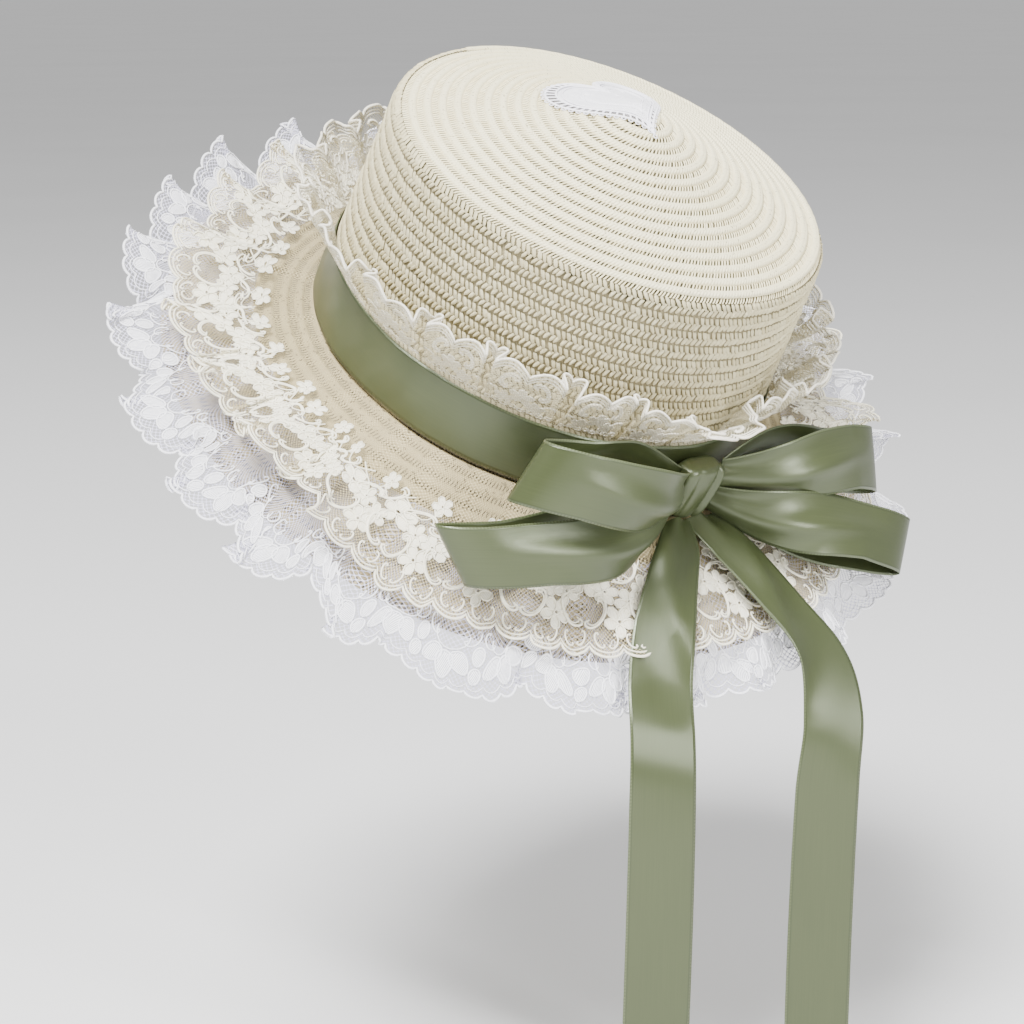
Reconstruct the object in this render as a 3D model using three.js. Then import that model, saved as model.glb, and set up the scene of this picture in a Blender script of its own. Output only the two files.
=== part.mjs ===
import * as THREE from 'three';

// A straw bonnet with a round flat crown, a sloping brim under two gathered lace ruffles,
// a pleated lace frill, a satin ribbon tied in a four-loop bow, and a lace heart on the top.
// Lengths in millimetres, angles in degrees. The hat is drawn upright on its own crown axis,
// with the bow toward -Y, and is then tipped back by WEAR_TILT to the way it is worn.

const WEAR_TILT = 30.94;            // crown axis leans back toward the bow

const HEAD_RADIUS = 93;             // straw at the head opening, outside
const CROWN_TOP_RADIUS = 90;        // wall just below the shoulder, outside
const CROWN_HEIGHT = 93;            // head opening to the outer ring of the top
const CROWN_RISE = 29;              // outer ring of the top to its middle
const SHOULDER = 4;                 // rounding between wall and top
const STRAW_WALL = 2;
const BRAID_PITCH = 5.8;            // width of one row of sewn braid
const BRAID_RELIEF = 0.5;           // dip between two rows
const CROWN_SIDES = 34;

const BRIM_RADIUS = 150;            // straw edge
const LACE_RADIUS = 170;            // outer edge of the white ruffle
const BRIM_DROP = 23;               // mean drop of the lace edge below the head opening
const BRIM_DROOP = 22;              // how much deeper it hangs on its low side
const BRIM_LOW_SIDE = -50;          // bearing of that side, seen from the bow
const BRIM_SIDES = 72;

const SEAM = 0.4;                   // gap left between pieces
const LACE_WALL = 1.1;
const CREAM_RADIUS = 152;           // outer edge of the cream ruffle
const CREAM_WAVE = 9;               // height of its gathers at the edge
const CREAM_GATHERS = 22;
const WHITE_SEAM_RADIUS = 116;      // where the white ruffle is sewn to the brim
const WHITE_WAVE = 8;
const WHITE_GATHERS = 24;
const SCALLOP = 2.5;                // in-and-out of both ruffle edges

const RIBBON_WIDTH = 26;
const RIBBON_WALL = 1.2;
const BAND_LIFT = 2.4;              // lower edge of the band above the head opening
const BAND_SIDES = 48;

const FRILL_LENGTH = 28;            // from the band's upper edge to the frill's edge
const FRILL_WALL = 1;
const FRILL_PLEAT = 4.5;
const FRILL_PLEATS = 28;

const KNOT_WIDTH = 21;
const KNOT_DEPTH = 13;
const KNOT_HEIGHT = 25;
const KNOT_SOFTNESS = 0.72;

const HEART_WIDTH = 50;
const HEART_LENGTH = 45;
const HEART_WALL = 1;
const HEART_SHIFT = [-2, 8];        // its middle from the middle of the top

// Lean of the frill away from the crown, by bearing from the bow.
const FRILL_LEAN = [
  { bearing: -180, lean: 24 },
  { bearing: -130, lean: 36 },
  { bearing: -95, lean: 20 },
  { bearing: -50, lean: 12 },
  { bearing: 0, lean: 11 },
  { bearing: 35, lean: 18 },
  { bearing: 62, lean: 36 },
  { bearing: 110, lean: 30 },
  { bearing: 180, lean: 24 },
];

// How lively the gathers are, by bearing from the bow: flattened where the bow lies on them.
const GATHER_LIFE = [
  { bearing: -180, life: 1.0 },
  { bearing: -82, life: 1.0 },
  { bearing: -55, life: 0.4 },
  { bearing: -20, life: 0.3 },
  { bearing: 20, life: 0.3 },
  { bearing: 45, life: 0.4 },
  { bearing: 72, life: 1.0 },
  { bearing: 180, life: 1.0 },
];

// Bow loops in the upright hat, in head radii: root at the knot, bend, and middle of the outer
// fold. across is the direction of the ribbon's width at that fold; open, the half gap in the
// loop, and pinch, the width at the knot, are in ribbon widths.
const LOOPS = [
  {
    name: 'bow_loop_upper_left',
    root: [-0.1172, -1.0914, 0.1989], bend: [-0.5376, -1.2796, 0.3548], end: [-0.9355, -1.0108, 0.3118],
    across: [0.45, 0.17, 0.88], open: 0.25, pinch: 0.3846,
  },
  {
    name: 'bow_loop_lower_left',
    root: [-0.1172, -1.0914, 0.086], bend: [-0.6667, -1.2796, 0.0215], end: [-1.2043, -1.0538, -0.043],
    across: [-0.38, 0.63, 0.68], open: 0.2308, pinch: 0.3077,
  },
  {
    name: 'bow_loop_upper_right',
    root: [0.1172, -1.0806, 0.1989], bend: [0.5591, -1.2366, 0.3763], end: [1.0269, -1.129, 0.1613],
    across: [0.06, 0.67, 0.74], open: 0.3077, pinch: 0.3846,
  },
  {
    name: 'bow_loop_lower_right',
    root: [0.1172, -1.0968, 0.086], bend: [0.5376, -1.4301, 0.1075], end: [1.0538, -1.4839, -0.043],
    across: [0.6, 0.66, 0.45], open: 0.1923, pinch: 0.3077,
  },
];

// Ribbon tails as they hang: middle of the ribbon in head radii, its width in ribbon widths,
// and the bearing that the ribbon's face looks toward.
const TAIL_LEFT = [
  { x: -0.0591, y: -0.9817, z: -0.5699, share: 0.4, face: 0 },
  { x: -0.1828, y: -1.0914, z: -0.6935, share: 0.75, face: -8 },
  { x: -0.3441, y: -1.2043, z: -0.9032, share: 1.0, face: -16 },
  { x: -0.4409, y: -1.2903, z: -1.1183, share: 1.0, face: -22 },
  { x: -0.5269, y: -1.3978, z: -1.3548, share: 1.0, face: -25 },
  { x: -0.5591, y: -1.4247, z: -1.6667, share: 1.0, face: -27 },
  { x: -0.5806, y: -1.4301, z: -2.2043, share: 1.0, face: -28 },
  { x: -0.6022, y: -1.4301, z: -2.8172, share: 1.0, face: -28 },
];
const TAIL_RIGHT = [
  { x: 0.0591, y: -0.9817, z: -0.5699, share: 0.4, face: 0 },
  { x: 0.1398, y: -1.129, z: -0.7097, share: 0.7, face: 4 },
  { x: 0.2581, y: -1.2903, z: -0.914, share: 0.95, face: 6 },
  { x: 0.3763, y: -1.4194, z: -1.1398, share: 1.0, face: 0 },
  { x: 0.3656, y: -1.4946, z: -1.3871, share: 1.0, face: -18 },
  { x: 0.3226, y: -1.5054, z: -1.6774, share: 1.0, face: -30 },
  { x: 0.3011, y: -1.5054, z: -2.2043, share: 1.0, face: -32 },
  { x: 0.2903, y: -1.5054, z: -2.8817, share: 1.0, face: -32 },
];

const TURN = Math.PI / 180;
const TAU = Math.PI * 2;

const at = (radius, bearing, z) =>
  new THREE.Vector3(radius * Math.sin(bearing), -radius * Math.cos(bearing), z);

const between = (a, b, t) => a + (b - a) * t;

const clamp01 = (t) => Math.min(1, Math.max(0, t));

// Value of a table's column at a bearing in degrees, eased from row to row.
function byBearing(table, column, bearing) {
  const turned = ((bearing + 180) % 360 + 360) % 360 - 180;
  for (let i = 1; i < table.length; i += 1) {
    const low = table[i - 1];
    const high = table[i];
    if (turned <= high.bearing) {
      const t = (turned - low.bearing) / (high.bearing - low.bearing);
      return between(low[column], high[column], (1 - Math.cos(Math.PI * t)) / 2);
    }
  }
  return table[0][column];
}

// Closed body from a list of points and triangles, its faces turned outward.
function body(points, triangles) {
  let volume = 0;
  for (const [a, b, c] of triangles) {
    volume += points[a].dot(points[b].clone().cross(points[c]));
  }
  const flat = [];
  for (const [a, b, c] of triangles) {
    flat.push(a, volume > 0 ? b : c, volume > 0 ? c : b);
  }
  const geometry = new THREE.BufferGeometry();
  geometry.setAttribute('position', new THREE.Float32BufferAttribute(
    points.flatMap((p) => [p.x, p.y, p.z]), 3));
  geometry.setIndex(flat);
  geometry.computeVertexNormals();
  return geometry;
}

// Body between sections of equal length, each section a closed loop of points.
function swept(sections, closed) {
  const size = sections[0].length;
  const points = sections.flat();
  const triangles = [];
  const last = closed ? sections.length : sections.length - 1;
  for (let i = 0; i < last; i += 1) {
    const here = i * size;
    const next = ((i + 1) % sections.length) * size;
    for (let j = 0; j < size; j += 1) {
      const k = (j + 1) % size;
      triangles.push([here + j, next + j, next + k], [here + j, next + k, here + k]);
    }
  }
  if (!closed) {
    const end = (sections.length - 1) * size;
    for (let j = 1; j < size - 1; j += 1) {
      triangles.push([0, j, j + 1], [end, end + j + 1, end + j]);
    }
  }
  return body(points, triangles);
}

// Body turned about the crown axis from a profile of [radius, z] that starts and ends on it.
function turned(profile, sides) {
  const points = [at(0, 0, profile[0][1])];
  const inner = profile.slice(1, -1);
  for (const [radius, z] of inner) {
    for (let i = 0; i < sides; i += 1) {
      points.push(at(radius, i * TAU / sides, z));
    }
  }
  points.push(at(0, 0, profile[profile.length - 1][1]));
  const tip = points.length - 1;
  const triangles = [];
  for (let i = 0; i < sides; i += 1) {
    const k = (i + 1) % sides;
    triangles.push([0, 1 + i, 1 + k]);
    for (let j = 0; j < inner.length - 1; j += 1) {
      const here = 1 + j * sides;
      const next = here + sides;
      triangles.push([here + i, next + i, next + k], [here + i, next + k, here + k]);
    }
    const end = 1 + (inner.length - 1) * sides;
    triangles.push([end + i, tip, end + k]);
  }
  return body(points, triangles);
}

// Height of the crown's top above the head opening, and radius of its wall, both outside.
const topHeight = (radius) => CROWN_HEIGHT + CROWN_RISE * (1 - radius / ringRadius);
const ringRadius = CROWN_TOP_RADIUS - SHOULDER * 0.65;
const wallRadius = (z) => between(HEAD_RADIUS, CROWN_TOP_RADIUS, clamp01(z / (CROWN_HEIGHT - SHOULDER)));

function crown() {
  const profile = [];
  const rings = Math.round(ringRadius / BRAID_PITCH);
  const ringPitch = ringRadius / rings;
  for (let i = 0; i < rings; i += 1) {
    const dip = i === 0 ? 0 : BRAID_RELIEF;
    profile.push([i * ringPitch, topHeight(i * ringPitch) - dip]);
    profile.push([(i + 0.5) * ringPitch, topHeight((i + 0.5) * ringPitch)]);
  }
  profile.push([ringRadius, CROWN_HEIGHT - BRAID_RELIEF]);
  profile.push([CROWN_TOP_RADIUS - SHOULDER * 0.15, CROWN_HEIGHT - SHOULDER * 0.35]);
  const bandTop = BAND_LIFT + RIBBON_WIDTH;
  const shoulderZ = CROWN_HEIGHT - SHOULDER;
  const rows = Math.round((shoulderZ - bandTop) / BRAID_PITCH);
  const rowPitch = (shoulderZ - bandTop) / rows;
  for (let i = 0; i < rows; i += 1) {
    const z = shoulderZ - i * rowPitch;
    profile.push([wallRadius(z) - BRAID_RELIEF, z]);
    profile.push([wallRadius(z - rowPitch * 0.5), z - rowPitch * 0.5]);
  }
  profile.push([wallRadius(bandTop) - BRAID_RELIEF, bandTop]);
  profile.push([HEAD_RADIUS - BRAID_RELIEF, 0]);
  profile.push([HEAD_RADIUS - BRAID_RELIEF - STRAW_WALL, 0]);
  profile.push([CROWN_TOP_RADIUS - BRAID_RELIEF - STRAW_WALL, shoulderZ - STRAW_WALL]);
  profile.push([ringRadius - STRAW_WALL, CROWN_HEIGHT - STRAW_WALL - BRAID_RELIEF]);
  profile.push([0, CROWN_HEIGHT + CROWN_RISE - STRAW_WALL - BRAID_RELIEF]);
  return turned(profile, CROWN_SIDES);
}

// Height of the brim's upper face at a radius and bearing.
function brimHeight(radius, bearing) {
  const across = clamp01((radius - HEAD_RADIUS) / (LACE_RADIUS - HEAD_RADIUS));
  const droop = BRIM_DROP + BRIM_DROOP * Math.cos(bearing - BRIM_LOW_SIDE * TURN);
  const ripple = 2.2 * across * across * Math.sin(3 * bearing + 0.6);
  return -droop * Math.pow(across, 1.08) + ripple;
}

// Body of a ring-shaped sheet: rows from the inner to the outer edge give [radius, z] of its
// lower face at each bearing, and the upper face lies one wall above it.
function ringSheet(sides, rows, wall, place) {
  const sections = [];
  for (let i = 0; i < sides; i += 1) {
    const bearing = i * TAU / sides;
    const low = [];
    const high = [];
    for (let j = 0; j <= rows; j += 1) {
      const [radius, z] = place(j / rows, bearing);
      low.push(at(radius, bearing, z));
      high.push(at(radius, bearing, z + wall));
    }
    sections.push([...low, ...high.reverse()]);
  }
  return swept(sections, true);
}

function brim() {
  return ringSheet(BRIM_SIDES, 3, STRAW_WALL, (t, bearing) => {
    const radius = between(HEAD_RADIUS + SEAM * 0.2, BRIM_RADIUS, t);
    return [radius, brimHeight(radius, bearing) - STRAW_WALL];
  });
}

const whiteShare = (radius) =>
  clamp01((radius - WHITE_SEAM_RADIUS) / (LACE_RADIUS - WHITE_SEAM_RADIUS));

// Tallest that the white ruffle reaches above the brim at a radius.
const whiteTop = (radius, life) =>
  SEAM + LACE_WALL + WHITE_WAVE * life * Math.pow(whiteShare(radius), 1.2);

const gathers = (count, bearing, phase) =>
  0.5 + 0.5 * Math.sin(count * bearing + phase + 0.9 * Math.sin(5 * bearing + phase));

function whiteRuffle() {
  return ringSheet(WHITE_GATHERS * 6, 2, LACE_WALL, (t, bearing) => {
    const wave = gathers(WHITE_GATHERS, bearing, 0.4);
    const radius = between(WHITE_SEAM_RADIUS, LACE_RADIUS - SCALLOP * (1 - wave), t);
    const life = byBearing(GATHER_LIFE, 'life', bearing / TURN);
    const lift = WHITE_WAVE * Math.pow(whiteShare(radius), 1.2) * wave * life;
    return [radius, brimHeight(radius, bearing) + SEAM + lift];
  });
}

function creamRuffle() {
  const inner = HEAD_RADIUS + SEAM * 2;
  return ringSheet(CREAM_GATHERS * 5, 3, LACE_WALL, (t, bearing) => {
    const wave = gathers(CREAM_GATHERS, bearing, 2.1);
    const outer = CREAM_RADIUS - SCALLOP * (1 - wave);
    const radius = t < 0.5
      ? between(inner, WHITE_SEAM_RADIUS - 3, t * 3)
      : between(WHITE_SEAM_RADIUS - 3, outer, (t * 3 - 1) / 2);
    const share = clamp01((radius - inner) / (CREAM_RADIUS - inner));
    const life = byBearing(GATHER_LIFE, 'life', bearing / TURN);
    const clear = whiteTop(radius, life) * clamp01((radius - inner) / (WHITE_SEAM_RADIUS - 3 - inner));
    const lift = CREAM_WAVE * share * share * wave * life;
    return [radius, brimHeight(radius, bearing) + SEAM + clear + lift];
  });
}

function ribbonBand() {
  const sections = [];
  for (let i = 0; i < BAND_SIDES; i += 1) {
    const bearing = i * TAU / BAND_SIDES;
    const foot = wallRadius(BAND_LIFT) + SEAM;
    const head = wallRadius(BAND_LIFT + RIBBON_WIDTH) + SEAM;
    sections.push([
      at(foot, bearing, BAND_LIFT),
      at(foot + RIBBON_WALL, bearing, BAND_LIFT),
      at(head + RIBBON_WALL, bearing, BAND_LIFT + RIBBON_WIDTH),
      at(head, bearing, BAND_LIFT + RIBBON_WIDTH),
    ]);
  }
  return swept(sections, true);
}

function crownFrill() {
  const footZ = BAND_LIFT + RIBBON_WIDTH + SEAM;
  const sides = FRILL_PLEATS * 4;
  const sections = [];
  for (let i = 0; i < sides; i += 1) {
    const bearing = i * TAU / sides;
    const lean = byBearing(FRILL_LEAN, 'lean', bearing / TURN) * TURN;
    const pleat = gathers(FRILL_PLEATS, bearing, 1.3);
    const low = [];
    const high = [];
    for (const t of [0, 0.45, 1]) {
      const out = FRILL_LENGTH * t * Math.sin(lean) + FRILL_PLEAT * pleat * t;
      const z = footZ + FRILL_LENGTH * t * Math.cos(lean);
      low.push(at(wallRadius(footZ) + SEAM + out, bearing, z));
      high.push(at(wallRadius(footZ) + SEAM + FRILL_WALL + out, bearing, z));
    }
    sections.push([...low, ...high.reverse()]);
  }
  return swept(sections, true);
}

function bowKnot() {
  const middleZ = BAND_LIFT + RIBBON_WIDTH * 0.42;
  const front = wallRadius(middleZ) + SEAM * 2 + RIBBON_WALL;
  const centre = new THREE.Vector3(0, -front - KNOT_DEPTH / 2, middleZ);
  const points = [];
  const triangles = [];
  const soft = (value) => Math.sign(value) * Math.pow(Math.abs(value), KNOT_SOFTNESS);
  const place = (up, around) => new THREE.Vector3(
    soft(Math.sin(up) * Math.cos(around)) * KNOT_WIDTH / 2,
    soft(Math.sin(up) * Math.sin(around)) * KNOT_DEPTH / 2,
    soft(Math.cos(up)) * KNOT_HEIGHT / 2).add(centre);
  const levels = 7;
  const sides = 14;
  points.push(place(0, 0));
  for (let i = 1; i < levels; i += 1) {
    for (let j = 0; j < sides; j += 1) {
      points.push(place(i * Math.PI / levels, j * TAU / sides));
    }
  }
  points.push(place(Math.PI, 0));
  const tip = points.length - 1;
  for (let j = 0; j < sides; j += 1) {
    const k = (j + 1) % sides;
    triangles.push([0, 1 + j, 1 + k]);
    for (let i = 0; i < levels - 2; i += 1) {
      const here = 1 + i * sides;
      const next = here + sides;
      triangles.push([here + j, next + j, next + k], [here + j, next + k, here + k]);
    }
    const end = 1 + (levels - 2) * sides;
    triangles.push([end + j, tip, end + k]);
  }
  return body(points, triangles);
}

// One bow loop: ribbon that leaves the knot, folds round at the outer end and comes back.
function bowLoop(loop) {
  const root = new THREE.Vector3(...loop.root).multiplyScalar(HEAD_RADIUS);
  const bend = new THREE.Vector3(...loop.bend).multiplyScalar(HEAD_RADIUS);
  const end = new THREE.Vector3(...loop.end).multiplyScalar(HEAD_RADIUS);
  const upright = new THREE.Vector3(0, 0, 1);
  const across = new THREE.Vector3(...loop.across).normalize();
  const spine = new THREE.QuadraticBezierCurve3(root, bend, end);
  const steps = 11;
  const path = [];
  const place = (i, side) => {
    const t = 1 - Math.pow(1 - i / steps, 1.7);
    const wide = upright.clone().lerp(across, Math.min(1, t * 1.4)).normalize();
    const normal = new THREE.Vector3().crossVectors(spine.getTangent(t), wide).normalize();
    const gap = RIBBON_WIDTH * loop.open * Math.pow(t, 0.8) * Math.sqrt(1 - Math.pow(t, 5));
    const open = RIBBON_WALL * 0.75 + gap;
    const middle = spine.getPoint(t).addScaledVector(normal, i === steps ? 0 : side * open);
    const width = RIBBON_WIDTH * between(loop.pinch, 1, Math.sin(Math.PI / 2 * clamp01(t / 0.6)));
    return { middle, wide, width };
  };
  for (let i = 0; i <= steps; i += 1) {
    path.push(place(i, 1));
  }
  for (let i = steps - 1; i >= 0; i -= 1) {
    path.push(place(i, -1));
  }
  const sections = path.map(({ middle, wide, width }, i) => {
    const before = path[(i + path.length - 1) % path.length].middle;
    const after = path[(i + 1) % path.length].middle;
    const along = after.clone().sub(before).normalize();
    const out = new THREE.Vector3().crossVectors(along, wide).normalize();
    const corner = (thick, side) => middle.clone()
      .addScaledVector(out, thick * RIBBON_WALL / 2)
      .addScaledVector(wide, side * width / 2);
    return [corner(1, 1), corner(1, -1), corner(-1, -1), corner(-1, 1)];
  });
  return swept(sections, true);
}

// One hanging tail, drawn as it hangs and so not tipped with the hat.
function tail(rows) {
  const curve = new THREE.CatmullRomCurve3(
    rows.map((row) => new THREE.Vector3(row.x, row.y, row.z).multiplyScalar(HEAD_RADIUS)));
  const steps = 21;
  const sections = [];
  for (let i = 0; i <= steps; i += 1) {
    const t = i / steps;
    const spot = t * (rows.length - 1);
    const low = Math.min(rows.length - 2, Math.floor(spot));
    const share = between(rows[low].share, rows[low + 1].share, spot - low);
    const face = between(rows[low].face, rows[low + 1].face, spot - low) * TURN;
    const middle = curve.getPoint(t);
    const wide = new THREE.Vector3(Math.cos(face), Math.sin(face), 0);
    const out = new THREE.Vector3().crossVectors(wide, curve.getTangent(t)).normalize();
    const corner = (thick, side) => middle.clone()
      .addScaledVector(out, thick * RIBBON_WALL / 2)
      .addScaledVector(wide, side * share * RIBBON_WIDTH / 2);
    sections.push([corner(1, 1), corner(1, -1), corner(-1, -1), corner(-1, 1)]);
  }
  return swept(sections, false);
}

// Heart laid over the top, its point toward the bow.
function heart() {
  const spokes = 24;
  const rings = 3;
  const outline = (angle) => {
    const s = Math.sin(angle);
    const x = 16 * s * s * s;
    const y = 13 * Math.cos(angle) - 5 * Math.cos(2 * angle) - 2 * Math.cos(3 * angle) - Math.cos(4 * angle);
    return [x / 32 * HEART_WIDTH, (y + 2.5) / 29 * HEART_LENGTH];
  };
  const points = [];
  const triangles = [];
  const lay = (x, y, wall) => points.push(new THREE.Vector3(
    x, y, topHeight(Math.hypot(x, y)) + SEAM + wall));
  for (const wall of [0, HEART_WALL]) {
    lay(0, 0, wall);
    for (let ring = 1; ring <= rings; ring += 1) {
      for (let i = 0; i < spokes; i += 1) {
        const [x, y] = outline(i * TAU / spokes);
        lay((x + HEART_SHIFT[0]) * ring / rings, (y + HEART_SHIFT[1]) * ring / rings, wall);
      }
    }
  }
  const half = 1 + rings * spokes;
  for (let i = 0; i < spokes; i += 1) {
    const k = (i + 1) % spokes;
    triangles.push([0, 1 + k, 1 + i], [half, half + 1 + i, half + 1 + k]);
    for (let ring = 0; ring < rings - 1; ring += 1) {
      const here = 1 + ring * spokes;
      const next = here + spokes;
      triangles.push([here + i, next + k, next + i], [here + i, here + k, next + k]);
      triangles.push([half + here + i, half + next + i, half + next + k]);
      triangles.push([half + here + i, half + next + k, half + here + k]);
    }
    const edge = 1 + (rings - 1) * spokes;
    triangles.push([edge + i, edge + k, half + edge + k], [edge + i, half + edge + k, half + edge + i]);
  }
  return body(points, triangles);
}

function piece(name, geometry, colour, roughness, tipped = true) {
  if (tipped) {
    geometry.applyMatrix4(new THREE.Matrix4().makeRotationX(WEAR_TILT * TURN));
  }
  const material = new THREE.MeshStandardMaterial({ color: colour, roughness, metalness: 0 });
  const mesh = new THREE.Mesh(geometry, material);
  mesh.name = name;
  return mesh;
}

const STRAW = 0xe4dabd;
const CREAM = 0xf0ead8;
const WHITE = 0xeeeef2;
const GREEN = 0x7f8f68;

const bonnet = new THREE.Group();
bonnet.name = 'bonnet';
bonnet.add(piece('crown', crown(), STRAW, 0.85));
bonnet.add(piece('brim', brim(), STRAW, 0.85));
bonnet.add(piece('white_ruffle', whiteRuffle(), WHITE, 0.9));
bonnet.add(piece('cream_ruffle', creamRuffle(), CREAM, 0.9));
bonnet.add(piece('ribbon_band', ribbonBand(), GREEN, 0.4));
bonnet.add(piece('crown_frill', crownFrill(), CREAM, 0.9));
bonnet.add(piece('bow_knot', bowKnot(), GREEN, 0.4));
for (const loop of LOOPS) {
  bonnet.add(piece(loop.name, bowLoop(loop), GREEN, 0.4));
}
bonnet.add(piece('tail_left', tail(TAIL_LEFT), GREEN, 0.4, false));
bonnet.add(piece('tail_right', tail(TAIL_RIGHT), GREEN, 0.4, false));
bonnet.add(piece('heart_applique', heart(), WHITE, 0.85));

export default bonnet;
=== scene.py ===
import math

import bpy
import numpy as np
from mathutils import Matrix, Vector


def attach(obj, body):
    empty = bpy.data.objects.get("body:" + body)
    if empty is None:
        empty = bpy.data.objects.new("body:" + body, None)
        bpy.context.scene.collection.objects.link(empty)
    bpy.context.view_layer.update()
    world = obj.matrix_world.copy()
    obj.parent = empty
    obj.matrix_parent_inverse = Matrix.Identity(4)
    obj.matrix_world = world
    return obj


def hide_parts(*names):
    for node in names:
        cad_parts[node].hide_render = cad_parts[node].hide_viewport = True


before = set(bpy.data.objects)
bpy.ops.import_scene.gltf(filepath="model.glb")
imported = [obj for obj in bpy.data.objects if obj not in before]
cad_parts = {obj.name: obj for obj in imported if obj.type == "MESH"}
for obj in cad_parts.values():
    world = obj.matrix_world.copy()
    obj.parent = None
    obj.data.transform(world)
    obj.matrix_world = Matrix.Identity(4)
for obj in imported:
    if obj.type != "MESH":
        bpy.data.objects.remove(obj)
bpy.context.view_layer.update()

# Lengths in millimetres, angles in radians, in the upright hat: +z is the crown axis and the
# bow looks along -y. The hat is tipped back by TILT to the way it is worn.
MM = 0.001
TAU = 2 * math.pi
TILT = math.radians(30.94)
HEAD_R = 93.0               # straw at the head opening, outside
TOP_R = 90.0                # wall just below the shoulder
CROWN_H = 93.0              # head opening to the outer ring of the top
RISE = 29.0                 # outer ring of the top to its middle
RING_R = TOP_R - 2.6        # outer ring of the top
SHOULDER_R = 86.2           # where the top starts to bend down
SHOULDER_Z = 88.0           # where the bend ends on the wall
BRIM_R = 150.0              # straw edge
BRIM_DROP = 23.0            # mean drop of the lace edge
BRIM_DROOP = 22.0           # how much deeper it hangs on its low side
LOW_SIDE = math.radians(-50)
WHITE_IN = 116.0            # where the white lace is sewn on
WHITE_R = 170.0
CREAM_R = 152.0
WHITE_GATHERS, CREAM_GATHERS = 24, 22
FLAPS = 22                  # box pleats of the frill
PLEAT_CLOTH = 46.0          # cloth in each of them
RIBBON = 26.0
BAND_Z = 2.4                # lower edge of the band
BAND_TOP = BAND_Z + RIBBON

PITCH, WALL_PITCH = 5.8, 6.4    # a row of braid on the top and on the wall
WALL_S = 92.0               # place down the crown where the wall's rows begin
RIM_S = 92.6                # place where the round bands end
ROW_TICKS = 8.75            # mm of braid that holds 5 slits and 7 plait strands

# Width, scallop and depth of the scallop of each lace.
WHITE_LACE = (54.0, 6.4, 2.0)
CREAM_LACE = (58.0, 12.6, 3.6)
FRILL_LACE = (28.0, PLEAT_CLOTH / 4, 4.0)

# Tables of (bearing from the bow in degrees, value).
FRILL_LEAN = [(-180, 24), (-130, 36), (-95, 20), (-50, 12), (0, 11), (35, 18), (62, 36), (110, 30), (180, 24)]
EDGE_LIFE = [(-180, 1.1), (-150, 1.5), (-75, 1.5), (-50, 1), (-35, .85), (-8, .6), (25, .6), (45, .8),
             (72, 1), (180, 1)]
EDGE_LEVEL = [(-180, 0), (-135, 0), (-100, 1), (-45, 1), (-15, 0), (180, 0)]
LIFE = [(-180, 1), (-82, 1), (-55, .4), (-20, .3), (20, .3), (45, .4), (72, 1), (180, 1)]

CAMERA_PLACE = (-0.7354, -0.8303, 0.1518)
CAMERA_LOOK = (0.6455, 0.7394, -0.1911)
CAMERA_LENS = 95.985

rng = np.random.RandomState(7)


# Camera

def set_camera():
    data = bpy.data.cameras.new("view")
    camera = bpy.data.objects.new("view", data)
    bpy.context.scene.collection.objects.link(camera)
    camera.location = CAMERA_PLACE
    camera.rotation_euler = Vector(CAMERA_LOOK).to_track_quat("-Z", "Y").to_euler()
    data.sensor_width = 36.0
    data.lens = CAMERA_LENS
    data.clip_start = 0.01
    data.clip_end = 500.0
    bpy.context.scene.camera = camera


set_camera()


# Shapes in numbers

def eased(table, bearing):
    """Value of a (degrees, value) table at a bearing in radians, eased from row to row."""
    deg = (np.degrees(bearing) + 180) % 360 - 180
    out = np.zeros_like(deg)
    for (a, x), (b, y) in zip(table[:-1], table[1:]):
        t = np.clip((deg - a) / (b - a), 0, 1)
        inside = (deg >= a) & (deg <= b)
        out = np.where(inside, x + (y - x) * (1 - np.cos(np.pi * t)) / 2, out)
    return out


def at(r, b, z):
    """Point at a radius, bearing and height of the upright hat."""
    r, b, z = np.broadcast_arrays(r, b, z)
    return np.stack([r * np.sin(b), -r * np.cos(b), z], -1).astype(float)


def tipped(p):
    """Points of the upright hat, tipped back to the way it is worn."""
    c, s = math.cos(TILT), math.sin(TILT)
    return np.stack([p[..., 0], p[..., 1] * c - p[..., 2] * s, p[..., 1] * s + p[..., 2] * c], -1)


def unit(v):
    return v / np.maximum(np.linalg.norm(v, axis=-1, keepdims=True), 1e-12)


def run_along(path):
    """Length of a path up to each of its points."""
    return np.concatenate([[0], np.cumsum(np.linalg.norm(np.diff(path, axis=0), axis=1))])


def hump(x, width):
    """A smooth bump that is 1 where x is 0."""
    return np.exp(-(x / width) ** 2)


def top_height(r):
    """Height of the top's face, with its tip rounded."""
    return CROWN_H + RISE * (1 - np.sqrt(r * r + 4) / RING_R)


def wall_radius(z):
    return HEAD_R + (TOP_R - HEAD_R) * np.clip(z / (CROWN_H - 4), 0, 1)


def brim_height(r, b):
    a = np.clip((r - HEAD_R) / (WHITE_R - HEAD_R), 0, 1)
    droop = BRIM_DROP + BRIM_DROOP * np.cos(b - LOW_SIDE)
    return -droop * a ** 1.08 + 2.2 * a * a * np.sin(3 * b + 0.6)


def gather(count, b, phase):
    """Phase of the gathers at a bearing: they come at uneven distances."""
    return count * b + phase + 0.9 * np.sin(5 * b + phase)


def lively(b, seed):
    """Uneven strength of the folds round a ruffle."""
    slow, fast = 0.28 * np.sin(2 * b + seed), 0.22 * np.sin(5 * b + 2.1 * seed)
    return 1 + slow + fast + 0.18 * np.sin(11 * b + 0.7 * seed)


def white_share(r):
    return np.clip((r - WHITE_IN) / (WHITE_R - WHITE_IN), 0, 1)


# Mesh building

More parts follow.
